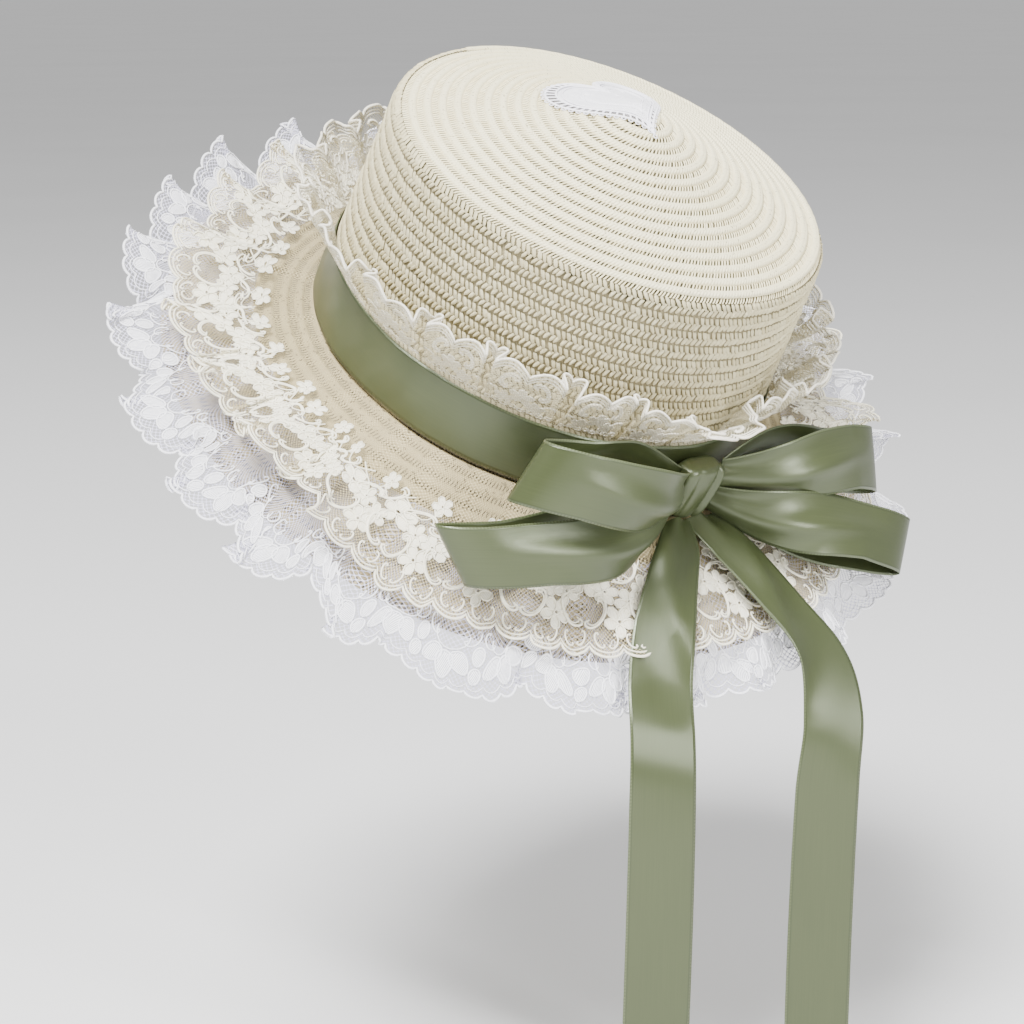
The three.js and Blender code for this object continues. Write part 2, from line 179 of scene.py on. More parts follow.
def make(name, points, faces, material, lay=None, slot=None):
    """A mesh object from points in mm and an index array of faces; lay is a value per point."""
    mesh = bpy.data.meshes.new(name)
    places = (np.asarray(points, float) * MM).reshape(-1, 3)
    mesh.from_pydata(places.tolist(), [], np.asarray(faces).tolist())
    if lay is not None:
        layer = mesh.attributes.new("lay", "FLOAT_VECTOR", "POINT")
        layer.data.foreach_set("vector", np.asarray(lay, np.float32).ravel())
    mesh.polygons.foreach_set("use_smooth", [True] * len(mesh.polygons))
    mesh.update()
    obj = bpy.data.objects.new(name, mesh)
    bpy.context.scene.collection.objects.link(obj)
    obj.data.materials.append(material)
    if slot:
        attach(obj, "root")
    return obj


def lays(u, v, w):
    """Rows of the lay attribute, from its three values on the same grid."""
    return np.stack(np.broadcast_arrays(u, v, w), -1).reshape(-1, 3)


def grid_faces(rows, columns, close_rows=False, close_columns=False):
    """Quads of a grid of points stored row by row."""
    i = np.arange(rows if close_rows else rows - 1)[:, None]
    j = np.arange(columns if close_columns else columns - 1)[None, :]
    below, right = (i + 1) % rows, (j + 1) % columns
    corners = [i * columns + j, i * columns + right, below * columns + right, below * columns + j]
    return np.stack(corners, -1).reshape(-1, 4)


def copies(faces, count, size):
    """The faces of a small grid of size points, for count such grids one after another."""
    return (faces[None] + np.arange(count)[:, None, None] * size).reshape(-1, 4)


class Sheet:
    """A ring of cloth known at a grid of points: the first index runs round it, the second
    across it. at() gives a point of the sheet at any place, lifted off its face."""

    def __init__(self, points, length, width):
        self.p, self.length, self.width = points, length, width
        along = np.roll(points[:-1], -1, 0) - np.roll(points[:-1], 1, 0)
        along = np.concatenate([along, along[:1]])
        across = np.gradient(points, axis=1)
        step = np.linalg.norm(np.diff(points, axis=0), axis=-1).mean(0)
        self.stretch = step * (points.shape[0] - 1) / length
        self.n = unit(np.cross(across, along))

    def at(self, u, v, h=0.0):
        nu, nv = self.p.shape[0] - 1, self.p.shape[1] - 1
        a = (np.asarray(u, float) / self.length % 1.0) * nu
        b = np.clip(np.asarray(v, float) / self.width, 0, 1) * nv
        a, b = np.broadcast_arrays(a, b)
        i = np.minimum(a.astype(int), nu - 1)
        j = np.minimum(b.astype(int), nv - 1)
        fa, fb = (a - i)[..., None], (b - j)[..., None]
        both = []
        for g in (self.p, self.n):
            near = g[i, j] * (1 - fa) + g[i + 1, j] * fa
            far = g[i, j + 1] * (1 - fa) + g[i + 1, j + 1] * fa
            both.append(near * (1 - fb) + far * fb)
        normal = unit(both[1])
        return both[0] + normal * np.asarray(h, float)[..., None], normal

    def widen(self, v):
        """How much wider a motif is drawn so that it has its true size where it lies."""
        spots = np.linspace(0, self.width, len(self.stretch))
        return 1 / np.clip(np.interp(v, spots, self.stretch), 0.45, 1.6)

    def lay(self):
        nu, nv = self.p.shape[:2]
        return lays(np.linspace(0, self.length, nu)[:, None], np.linspace(0, self.width, nv)[None, :], 0.0)

    def area(self):
        along = self.p[1:, :-1] - self.p[:-1, :-1]
        across = self.p[:-1, 1:] - self.p[:-1, :-1]
        return float(np.linalg.norm(np.cross(along, across), axis=-1).sum()) * MM * MM


class Threads:
    """Gathers raised cords and filled petals that lie on a sheet into one mesh."""

    PETAL_TOP = 1 - 1 / 1.35    # size of a petal's flat top

    def __init__(self, place, widen=None):
        self.place, self.widen = place, widen
        self.points, self.faces, self.lays, self.count = [], [], [], 0

    def cords(self, path, radius, height, lift=0.0, loop=False):
        """path: (many, steps, 2) places on the sheet. A four-sided cord follows each."""
        path = self._true(path)
        many, steps = path.shape[:2]
        centre, normal = self.place(path[..., 0], path[..., 1], np.full((many, steps), lift + height * 0.6))
        if loop:
            along = unit(np.roll(centre, -1, 1) - np.roll(centre, 1, 1))
        else:
            along = unit(np.gradient(centre, axis=1))
        side = unit(np.cross(normal, along))
        ring = np.stack([centre + side * radius, centre + normal * height,
                         centre - side * radius, centre - normal * height * 0.7], 2)
        steps_run = np.cumsum(np.linalg.norm(np.diff(centre, axis=1), axis=-1), 1)
        run = np.concatenate([np.zeros((many, 1)), steps_run], 1)
        lay = lays(run[..., None], np.arange(4) / 4, 0.0)
        self._add(ring, copies(grid_faces(steps, 4, loop, True), many, steps * 4), lay)

    def petals(self, outline, dome, lift=0.1):
        """outline: (many, steps, 2) closed outlines. A domed web fills each."""
        outline = self._true(outline)
        many, steps = outline.shape[:2]
        middle = outline.mean(1, keepdims=True)
        shares = np.array([1.0, self.PETAL_TOP])[None, :, None]
        grid = middle[:, None] + (outline - middle)[:, None] * shares[..., None]
        h = np.broadcast_to(lift + dome * (1 - shares ** 2), grid.shape[:3])
        point, _ = self.place(grid[..., 0], grid[..., 1], h)
        k = np.arange(steps // 2 - 1)
        caps = np.stack([steps + k, steps + k + 1, 2 * steps - 2 - k, 2 * steps - 1 - k], -1)
        faces = np.concatenate([grid_faces(2, steps, False, True), caps])
        self._add(point, copies(faces, many, 2 * steps), lays(grid[..., 0], grid[..., 1], 1.0))

    def _true(self, path):
        path = np.array(path, float)
        if self.widen and len(path) > 1:
            middle = path.mean(1, keepdims=True)
            wider = self.widen(middle[..., 1])
            path[..., 0] = middle[..., 0] + (path[..., 0] - middle[..., 0]) * wider
        return path

    def _add(self, points, faces, lay):
        self.points.append(points.reshape(-1, 3))
        self.faces.append(faces + self.count)
        self.lays.append(lay)
        self.count += len(lay)

    def build(self, name, material, slot):
        return make(name, np.concatenate(self.points), np.concatenate(self.faces), material,
                    np.concatenate(self.lays), slot=slot)


# Materials

def operation(name, swapped=False):
    """An arithmetic method of Value that adds a Math node."""
    def apply(self, other=0.0):
        return self.shader.math(name, other, self) if swapped else self.shader.math(name, self, other)
    return apply


class Value:
    """A value that varies over a surface: a shader node's output, with arithmetic."""

    def __init__(self, shader, socket):
        self.shader, self.socket = shader, socket

    __add__, __mul__, __truediv__ = operation("ADD"), operation("MULTIPLY"), operation("DIVIDE")
    __sub__, __rsub__ = operation("SUBTRACT"), operation("SUBTRACT", swapped=True)
    __pow__, __abs__ = operation("POWER"), operation("ABSOLUTE")


class Shader:
    """A procedural material. lay() gives its surface's own values, noise() its object's place."""

    INPUTS = {"colour": "Base Color", "roughness": "Roughness", "normal": "Normal", "alpha": "Alpha",
              "sheen": "Sheen Weight", "sheen_roughness": "Sheen Roughness", "tint": "Specular Tint",
              "specular": "Specular IOR Level", "anisotropic": "Anisotropic"}

    def __init__(self, name):
        self.material = bpy.data.materials.new(name)
        self.material.use_nodes = True
        self.tree = self.material.node_tree
        self.tree.nodes.clear()

    def node(self, kind, inputs=None, **settings):
        n = self.tree.nodes.new("ShaderNode" + kind)
        for key, value in settings.items():
            setattr(n, key, value)
        for key, value in (inputs or {}).items():
            self.feed(n.inputs[key], value)
        return n

    def feed(self, socket, value):
        if isinstance(value, Value):
            self.tree.links.new(value.socket, socket)
        elif isinstance(value, tuple) and socket.type == "RGBA":
            socket.default_value = (*value, 1)
        else:
            socket.default_value = value

    def out(self, node, name=0):
        return Value(self, node.outputs[name])

    def math(self, operation, a, b=0.0, clamp=False):
        n = self.node("Math", operation=operation, use_clamp=clamp)
        self.feed(n.inputs[0], a)
        self.feed(n.inputs[1], b)
        return self.out(n)

    def sine(self, a):
        return self.math("SINE", a)

    def ridges(self, a):
        """0 at every whole number, 1 halfway between two."""
        return abs(self.sine(a * math.pi))

    def lay(self):
        a = self.node("Attribute", attribute_name="lay")
        s = self.node("SeparateXYZ", {"Vector": self.out(a, "Vector")})
        return self.out(s, 0), self.out(s, 1), self.out(s, 2)

    def noise(self, scale, detail=2.0, where=None):
        where = where or self.out(self.node("TexCoord"), "Object")
        return self.out(self.node("TexNoise", {"Vector": where, "Scale": scale, "Detail": detail}))

    def mix(self, factor, a, b):
        n = self.node("Mix", data_type="RGBA", blend_type="MIX")
        for index, value in ((0, factor), (6, a), (7, b)):
            self.feed(n.inputs[index], value)
        return self.out(n, 2)

    def ramp(self, value, low, high, kind="LINEAR"):
        """0 below low, 1 above high."""
        inputs = {"Value": value, "From Min": low, "From Max": high}
        return self.out(self.node("MapRange", inputs, interpolation_type=kind))

    def smooth(self, value, low, high):
        return self.ramp(value, low, high, "SMOOTHSTEP")

    def bump(self, height, distance, strength, normal=None):
        inputs = {"Height": height, "Distance": distance, "Strength": strength}
        if normal is not None:
            inputs["Normal"] = normal
        return self.out(self.node("Bump", inputs))

    def finish(self, **inputs):
        named = {self.INPUTS[key]: value for key, value in inputs.items()}
        self.node("OutputMaterial", {"Surface": self.out(self.node("BsdfPrincipled", named))})
        return self.material


# The deep colour is also painted shade in the plait's grooves; the last colour is painted shade in the pits.
STRAW_LIGHT, STRAW_MID = (0.89, 0.82, 0.55), (0.76, 0.67, 0.40)
STRAW_DEEP, STRAW_PIT_SHADE = (0.54, 0.45, 0.23), (0.17, 0.14, 0.07)


def straw_material():
    """Paper straw. lay: mm along, place across from 0 to 1, then 0 on the top's bands, 0.5 on
    the wall's strands and 1 in the ladder between the bands."""
    s = Shader("straw")
    island = s.out(s.node("NewGeometry"), "Random Per Island")
    u, v, w = s.lay()
    fibre = s.noise(1100, 3)
    ladder = s.smooth(w, 0.7, 0.9)
    wall = s.smooth(w, 0.1, 0.4) * (1.0 - ladder)
    band = (1.0 - ladder) * (1.0 - wall)
    base = s.mix(island * ladder, STRAW_LIGHT, STRAW_MID)
    base = s.mix(wall * (island * 0.6 + 0.25), base, STRAW_MID)
    base = s.mix(s.smooth(fibre, 0.50, 0.75) * 0.35, base, STRAW_DEEP)
    base = s.mix(s.smooth(s.noise(12), 0.45, 0.75) * 0.25, base, STRAW_MID)
    slant = abs(v - 0.5)
    plait = s.ridges(u / 1.45 + slant * 2.2) ** 0.6 * (s.smooth(slant, 0.0, 0.12) * 0.5 + 0.5)
    # Small pits in the plait's grooves, painted near black as shade.
    pit_shade = s.smooth(s.noise(760, 1), 0.60, 0.70) * s.smooth(plait, 0.75, 0.35)
    # The plait's grooves are painted darker as shade.
    base = s.mix(s.smooth(plait, 0.50, 0.08) * band * 0.34, base, STRAW_DEEP)
    base = s.mix(pit_shade * band * 0.75, base, STRAW_PIT_SHADE)
    height = plait * band + s.sine(v * 26.0) * wall * 0.25
    normal = s.bump(fibre, 0.00012, 0.5, s.bump(height, 0.0004, 0.8))
    return s.finish(colour=base, roughness=0.62, normal=normal, specular=0.35)


def straw_base_material(name, dark, flat, wall=None):
    """Sewn braid seen from afar: in each row a plaited band, then a ladder of slits painted dark as shade.
    lay: mm round, then the number of the row. wall is the colour below the top's last row."""
    s = Shader(name)
    u, k, _ = s.lay()
    f = s.math("FRACT", k)
    ladder = s.smooth(f, 0.56, 0.64) * s.smooth(f, 1.0, 0.94)
    slit = s.ridges(u / (ROW_TICKS / 5) + f * 0.9)
    hollow = ladder * s.smooth(slit, 0.75, 0.35)
    plait = s.ridges(u / (ROW_TICKS / 7) + abs(f - 0.28) * 3.0)
    fibre = s.noise(1100, 3)
    base = s.mix(s.smooth(fibre, 0.5, 0.75) * 0.3, flat, STRAW_DEEP)
    base = s.mix(s.smooth(s.noise(10), 0.45, 0.75) * 0.25, base, STRAW_MID)
    # The plait's grooves are painted darker as shade.
    base = s.mix(s.smooth(plait, 0.4, 0.1) * 0.5, base, STRAW_DEEP)
    base = s.mix(s.smooth(s.noise(620, 1), 0.60, 0.68) * 0.7, base, dark)
    # The slits are painted dark as shade.
    base = s.mix(hollow, base, dark)
    if wall:
        base = s.mix(s.smooth(k, 15.7, 16.2), base, wall)
    band = s.math("SUBTRACT", 1.0, abs(f / 0.29 - 1.0) ** 3.0, clamp=True)
    height = band * 0.8 + (1.0 - hollow) * 0.4 + plait * 0.25
    normal = s.bump(fibre, 0.0001, 0.5, s.bump(height, 0.0007, 0.9))
    return s.finish(colour=base, roughness=0.7, normal=normal, specular=0.3)


def net_material(name, length, lace, colour, deep, hole, thread, haze):
    """Machine lace ground: holes in close rows, denser by patches, cut to its scalloped edge.
    The scallops come out whole in the sheet's length."""
    width, scallop, depth = lace
    scallop = length / round(length / scallop)
    s = Shader(name)
    u, v, _ = s.lay()
    cell = s.ridges((u + v) / hole) * s.ridges((u - v) / hole)
    solid = 1.0 - s.smooth(cell, thread, thread + 0.18)
    dense = s.smooth(s.noise(60, 1), 0.40, 0.72) * haze
    alpha = s.math("MAXIMUM", solid, dense + haze * 0.25, clamp=True)
    edge = s.ridges(u / scallop) ** 0.7 * depth + (width - depth)
    alpha = alpha * s.math("LESS_THAN", v, edge)
    base = s.mix(s.smooth(s.noise(9), 0.4, 0.7) * 0.5, colour, deep)
    normal = s.bump(solid + s.noise(500) * 0.5, 0.00015, 0.6)
    return s.finish(colour=base, roughness=0.85, normal=normal, alpha=alpha, sheen=0.18,
                    sheen_roughness=0.5, specular=0.2)


def thread_material(name, colour, deep, web):
    """Cords of twisted cotton (w = 0) and the fine stitched web inside petals (w = 1). web is
    how solid the web's gaps are."""
    s = Shader(name)
    u, v, w = s.lay()
    twist = s.sine(u * 9.0 + v * TAU)
    stitch = s.sine((u + v * 0.35) * 9.5)
    line = s.ramp(twist, 0.0, 1.0) * (1.0 - w) + s.ramp(stitch, 0.2, 0.9) * w
    fluff = s.noise(700)
    base = s.mix(s.smooth(fluff, 0.45, 0.7) * 0.35, colour, deep)
    # The grooves of the twist and between the stitches are painted darker as shade.
    base = s.mix((1.0 - line) * 0.22, base, deep)
    holes = w * (1.0 - s.smooth(stitch, -0.75, 0.1))
    alpha = 1.0 - holes * (1.0 - web)
    normal = s.bump(line, 0.0001, 0.6, s.bump(fluff, 0.00006, 0.5))
    return s.finish(colour=base, roughness=0.8, normal=normal, alpha=alpha, sheen=0.3,
                    sheen_roughness=0.4, specular=0.25)


def satin_material():
    """Woven satin: fine warp, soft streaks, a stitched selvedge along both edges."""
    s = Shader("green_satin")
    u, v, w = s.lay()
    drawn = s.out(s.node("CombineXYZ", {"X": u * 0.03, "Y": v * 2.6, "Z": w}))
    streak = s.noise(1.0, 2, drawn)
    base = s.mix(s.smooth(streak, 0.3, 0.7), (0.036, 0.045, 0.0165), (0.042, 0.052, 0.0195))
    base = s.mix(s.smooth(s.noise(16), 0.4, 0.7) * 0.4, base, (0.030, 0.038, 0.014))
    rim = RIBBON / 2
    edge = abs(v - rim)
    selvedge = s.smooth(edge, rim - 0.9, rim - 0.5)
    groove = s.smooth(edge, rim - 1.5, rim - 1.1) * s.smooth(edge, rim - 0.7, rim - 1.1)
    beads = s.sine(u * (TAU / 1.3)) * 0.45 + 0.55
    base = s.mix(selvedge * beads, base, (0.090, 0.108, 0.055))
    # The groove beside the selvedge is painted darker as shade.
    base = s.mix(groove * 0.5, base, (0.014, 0.020, 0.005))
    warp = s.sine(v * (TAU / 0.30))
    height = warp * 0.12 + (selvedge - groove * 0.6)
    normal = s.bump(height, 0.00012, 0.4, s.bump(streak, 0.00015, 0.05))
    return s.finish(colour=base, roughness=0.29, normal=normal, specular=0.80, anisotropic=0.6,
                    tint=(0.87, 0.95, 0.74))


def heart_cloth_material():
    """Close lace with an open ladder near its rim, whose holes are painted dark as shade. lay: place on the
    heart, share of it.
    """
    s = Shader("heart_close_lace")
    u, v, w = s.lay()
    weave = s.sine((u + v) * (TAU / 1.5)) * s.sine((u - v) * (TAU / 1.5))
    base = s.mix(s.smooth(weave, 0.1, 0.8), (0.973, 0.973, 1.0), (0.672, 0.638, 0.730))
    base = s.mix(s.smooth(s.noise(300), 0.45, 0.7) * 0.3, base, (0.716, 0.687, 0.776))
    rim = s.smooth(w, 0.865, 0.885) * s.smooth(w, 0.985, 0.965)
    # The ladder's holes are painted dark as shade.
    base = s.mix(rim * 0.85, base, (0.16, 0.14, 0.11))
    return s.finish(colour=base, roughness=0.85, normal=s.bump(weave, 0.0003, 0.6), sheen=0.3,
                    sheen_roughness=0.5, specular=0.2)


def floor_material():
    s = Shader("pale_floor")
    base = s.mix(s.smooth(s.noise(1.5), 0.3, 0.7), (0.76, 0.76, 0.76), (0.78, 0.78, 0.78))
    return s.finish(colour=base, roughness=0.9, specular=0.1, normal=s.bump(s.noise(150), 0.0003, 0.1))


STRAW = straw_material()
# The crown's sheet lies under the raised braid and shows only in its gaps: its colours are painted dark as
# the shade there, less dark below the top's last row.
STRAW_TOP = straw_base_material("straw_base", (0.022, 0.020, 0.009), (0.060, 0.052, 0.026),
                                wall=(0.30, 0.26, 0.15))
STRAW_BRIM = straw_base_material("straw_brim", (0.050, 0.040, 0.018), (0.44, 0.36, 0.19))
WHITE_THREAD = thread_material("white_thread", (0.97, 0.97, 0.99), (0.68, 0.68, 0.79), 0.28)
CREAM_THREAD = thread_material("cream_thread", (0.96, 0.93, 0.78), (0.78, 0.70, 0.48), 0.85)
FRILL_THREAD = thread_material("frill_thread", (0.88, 0.85, 0.74), (0.62, 0.55, 0.40), 0.60)
HEART_THREAD = thread_material("heart_thread", (0.98, 0.97, 1.0), (0.78, 0.75, 0.86), 0.80)
HEART_CLOTH = heart_cloth_material()
SATIN = satin_material()


# Straw

def crown_profile():
    """Outer face of the crown from the middle of the top down to the head opening."""
    r = np.linspace(0, SHOULDER_R, 60)
    cap = np.stack([r, top_height(r) + 0.55], 1)
    t = np.linspace(0, 1, 14)[1:, None]
    start = np.array([SHOULDER_R, CROWN_H + RISE * (1 - SHOULDER_R / RING_R) + 0.5])
    corner, end = np.array([90.3, 92.7]), np.array([TOP_R, SHOULDER_Z])
    bend = start * (1 - t) ** 2 + 2 * corner * t * (1 - t) + end * t * t
    z = np.linspace(SHOULDER_Z, 0, 60)[1:]
    wall = np.stack([wall_radius(z), z], 1)
    p = np.concatenate([cap, bend, wall])
    return run_along(p), p


PROFILE_S, PROFILE = crown_profile()
CROWN_S = PROFILE_S[-1]
WALL_FOOT = CROWN_S - BAND_TOP + 3      # the raised braid ends just below the frill's seam


def profile_at(s):
    """Radius and height of the crown's outer face at a place down it."""
    return np.interp(s, PROFILE_S, PROFILE[:, 0]), np.interp(s, PROFILE_S, PROFILE[:, 1])


def on_crown(s, b, h):
    """Point on the crown's face, lifted by h along the face's outward normal."""
    r, z = profile_at(s)
    r0, z0 = profile_at(s - 1.5)
    r1, z1 = profile_at(s + 1.5)
    size = np.hypot(r1 - r0, z1 - z0)
    dr, dz = (r1 - r0) / size, (z1 - z0) / size
    normal = np.stack([-dz * np.sin(b), dz * np.cos(b), dr], -1)
    return at(r, b, z) + normal * np.asarray(h)[..., None]


def crown_row(s):
    """Number of the braid's row at a place down the crown: rows are wider on the wall."""
    return np.where(s < WALL_S, s / PITCH, WALL_S / PITCH + (s - WALL_S) / WALL_PITCH)


def build_crown():
    """The straw under the raised braid. Its first and last columns meet in a seam."""
    b = np.linspace(0, TAU, 169)
    points, values = [], []
    outer, inner = np.linspace(0, CROWN_S, 129), np.linspace(CROWN_S, 0, 61)
    for s, lift, relief, middle in ((outer, -1.0, -0.2, 0), (inner, -2.3, 0.3, -1)):
        ss, bb = np.meshgrid(s, b, indexing="ij")
        k = crown_row(ss) - bb / TAU
        face = on_crown(ss, bb, lift + relief * np.abs(2 * (k % 1.0) - 1) ** 3)
        face[middle] = face[middle][:-1].mean(0)
        points.append(face)
        values.append(lays(ROW_TICKS * 65 / TAU * bb, k, 0.0))
    faces = grid_faces(len(outer) + len(inner), len(b))
    crown = make("straw_crown", tipped(np.concatenate(points)), faces, STRAW_TOP,
                 np.concatenate(values), slot="straw")
    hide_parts("crown")


def spiral(step):
    """Places (down the crown, bearing) one step apart along the braid, to the wall's foot."""
    s, b, places = 2.5, 0.0, []
    while s < WALL_FOOT:
        places.append((s, b))
        turn = step / max(2.0, profile_at(s)[0])
        b += turn
        s += (PITCH if s < WALL_S else WALL_PITCH) * turn / TAU
    places = np.array(places)
    return places[places[:, 0] < RIM_S]


def build_braid():
    """The plaited band of every row of the top: a broad flat cord sewn in a spiral."""
    step = 2.0
    places = spiral(step)
    count = np.arange(len(places))[:, None]
    # Place across the row as a share of it, and height off the crown's face.
    cross = np.array([(-0.03, -1.2), (0.02, -0.38), (0.12, 0.02), (0.27, 0.20), (0.42, 0.10),
                      (0.54, -0.28), (0.59, -1.2)])
    s = places[:, :1] + (cross[None, :, 0] - 0.28) * PITCH
    b = np.broadcast_to(places[:, 1:], s.shape)
    wobble = 0.05 * np.sin(count * 1.7)
    rim = 0.55 * hump(s - 91.0, 2.2)
    points = on_crown(np.maximum(s, 0.05), b, cross[None, :, 1] + wobble + rim)
    lay = lays(step * count, np.linspace(0, 1, len(cross))[None], 0.0)
    make("straw_braid", tipped(points), grid_faces(*s.shape), STRAW, lay, slot="straw")


def build_ladder():
    """Slanted strands of the top that join each row to the next, with open slits between them."""
    places = spiral(1.4)
    n = len(places)
    r = np.maximum(2.0, profile_at(places[:, 0])[0])
    jitter = rng.normal(0, 0.08, n)
    # Share of the row, height off the face and half width of each strand at four stations.
    stations = ((0.27, -0.62, 0.33), (0.40, -0.46, 0.36), (0.54, -0.48, 0.34), (0.73, -0.70, 0.36))
    points, values = [], []
    for share, h, wide in stations:
        s = places[:, 0] + share * PITCH
        b = places[:, 1] - (share - 0.5) * 3.0 / r + jitter / r
        for side in (-1, 0, 1):
            lift = np.full(n, h - 0.38 * abs(side)) + 0.4 * jitter
            points.append(on_crown(s, b + side * wide / r, lift))
            values.append(lays(places[:, 1] * 40, share, 1.0))
    faces = copies(grid_faces(4, 3), n, 12)
    make("straw_ladder", tipped(np.stack(points, 1)), faces, STRAW, np.stack(values, 1), slot="straw")


def build_wall():
    """The wall's rows: fat strands plaited in a V, with small pits between them."""
    b = float(spiral(2.0)[-1, 1])
    s = RIM_S - 0.34 * PITCH
    turn = 2.3 / WALL_S
    starts = []
    while s < WALL_FOOT:
        starts.append((s, b))
        b += turn
        s += WALL_PITCH * turn / TAU
    starts = np.array(starts)[:, None, None]
    n = len(starts)
    run = np.array([0.0, 0.22, 0.75, 1.0])[None, :, None]
    side = np.array([-1, -0.5, 0, 0.5, 1])[None, None, :]
    points, values = [], []
    # Where the strands of each half of the row begin and end, and how they slant.
    for half, (begin, end, slant) in enumerate(((0.05, 0.56, 1.55), (0.50, 0.97, -1.35))):
        place, width, lean, step, height = rng.normal(0, 1, (n, 5)).T[:, :, None, None]
        s = starts[..., 0] + (begin + (end - begin) * run + 0.02 * place) * WALL_PITCH
        taper = np.sin(np.pi * np.clip(run * 0.8 + 0.14, 0, 1)) ** 0.6
        wide = 0.92 * taper * (1 + 0.10 * width)
        shift = slant * (run - 0.5) * (1 + 0.12 * lean) + half * 1.15 + 0.16 * step
        b = starts[..., 1] + (shift + wide * side) / 91.0
        domed = np.sqrt(np.clip(1 - side ** 2, 0, 1)) * (0.45 + 0.55 * np.sin(np.pi * run))
        h = -0.62 + (0.95 + 0.12 * height) * domed + (0.12 if half == 0 else 0.0)
        s, b, h = np.broadcast_arrays(s, b, h)
        points.append(on_crown(s, b, h).reshape(-1, 3))
        values.append(lays(b * 92, side, 0.5))
    faces = copies(grid_faces(4, 5), 2 * n, 20)
    points, values = np.concatenate(points), np.concatenate(values)
    make("straw_wall_plait", tipped(points), faces, STRAW, values, slot="straw")


def build_brim():
    """The brim, with a low lip inside the crown's foot that closes the joint."""
    b = np.linspace(0, TAU, 241)[:, None]
    r = np.linspace(HEAD_R - 1.3, BRIM_R - 1, 61)
    # Radius, height off the brim's face, and which face it is.
    section = [(HEAD_R - 1.3, 2.6, 0)] + [(x, 0.0, 1) for x in r] + [(BRIM_R, -0.6, 0), (BRIM_R, -1.4, 0)]
    section += [(x, -2.0, -1) for x in r[::-1]] + [(HEAD_R - 1.9, -2.0, 0), (HEAD_R - 1.9, 2.6, 0)]
    radius, drop, side = np.array(section).T[:, None, :]
    k = (radius - HEAD_R) / PITCH - b / TAU
    relief = 0.7 * np.clip((k % 1.0 - 0.52) / 0.1, 0, 1) * np.clip((1 - k % 1.0) / 0.06, 0, 1)
    points = at(radius, b, brim_height(radius, b) + drop - side * relief)
    lay = lays(ROW_TICKS * 86 / TAU * b, k, 0.0)
    faces = grid_faces(len(b), len(section), False, True)
    brim = make("straw_brim", tipped(points), faces, STRAW_BRIM, lay, slot="straw")
    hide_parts("brim")


# Gathered lace

FINE_RING = np.linspace(0, TAU, 2401)[:, None] + math.pi


def even_sheet(points, row, columns, width):
    """A sheet whose columns lie an equal way apart along one of its rows."""
    run = run_along(points[:, row])
    spot = np.interp(np.linspace(0, run[-1], columns + 1), run, np.arange(len(run)))
    i = np.minimum(spot.astype(int), len(run) - 2)
    f = (spot - i)[:, None, None]
    return Sheet(points[i] * (1 - f) + points[i + 1] * f, run[-1], width)


def white_surface():
    """The white ruffle: flat on the brim, in deep lobes past the straw edge."""
    b = FINE_RING
    t = np.linspace(0, 1, 21)[None, :] ** 0.9
    phase = gather(WHITE_GATHERS, b, 0.4)
    wave = 0.5 + 0.5 * np.tanh(1.7 * np.sin(phase) + 0.35) / math.tanh(2.05)
    life, lift, level = eased(LIFE, b), lively(b, 1.3), eased(EDGE_LEVEL, b)
    sway = np.clip(eased(EDGE_LIFE, b) * lift, 0.3, 1.2)
    outer = WHITE_R + 2.6 - 15.5 * (1 - wave) * sway
    r = WHITE_IN + (outer - WHITE_IN) * t
    share = white_share(r)
    straw_end = BRIM_R + 1.2
    edge = np.clip((r - straw_end) / (outer - straw_end), 0, 1)
    fold = (3.0 * life * share ** 1.3 + 5.2 * edge * sway) * np.sin(2 * phase + 0.5)
    fold = fold + sway * edge * 4.0 * np.sin(phase + 1.2 + 3 * np.sin(3 * b))
    crest, valley = 7.5 - 10.0 * level, 14.5 - 13.5 * level
    z = brim_height(r, b) + 0.5 + (6.4 * wave * life + 0.7 * life) * share ** 1.2
    z = z + edge ** 1.1 * (crest * lift * wave * life - valley * (1 - wave) * sway)
    z = z + edge * 1.6 * np.sin(3 * phase + 2) * life
    return even_sheet(tipped(at(r, b + fold / r, z)), 17, 1500, WHITE_LACE[0])


def cream_surface():
    """The cream ruffle: flat near the crown, then gathered over the white one."""
    b = FINE_RING
    t = np.linspace(0, 1, 23)[None, :]
    inner = HEAD_R + 0.8
    phase = gather(CREAM_GATHERS, b, 2.1)
    wave = 0.5 + 0.5 * np.tanh(1.5 * np.sin(phase) + 0.3) / math.tanh(1.8)
    life, lift = eased(LIFE, b), lively(b, 4.0)
    outer = CREAM_R + 3.0 - 13.0 * (1 - wave) * life * np.clip(lift, 0.5, 1.3)
    r = inner + (outer - inner) * t
    clear = (1.7 + 6.6 * life * white_share(r) ** 1.2) * np.clip((r - inner) / 19.2, 0, 1)
    fold = life * t ** 2 * (6.6 * lift * np.sin(2 * phase + 0.4) + 3.2 * np.sin(phase + 3 * np.sin(2 * b)))
    z = brim_height(r, b) + 0.5 + clear + t ** 1.7 * wave * life * 16.0 * lift
    z = z + 1.5 * t ** 2 * np.sin(3 * phase + 1) * life
    return even_sheet(tipped(at(r, b + fold / r, z)), 19, 1300, CREAM_LACE[0])


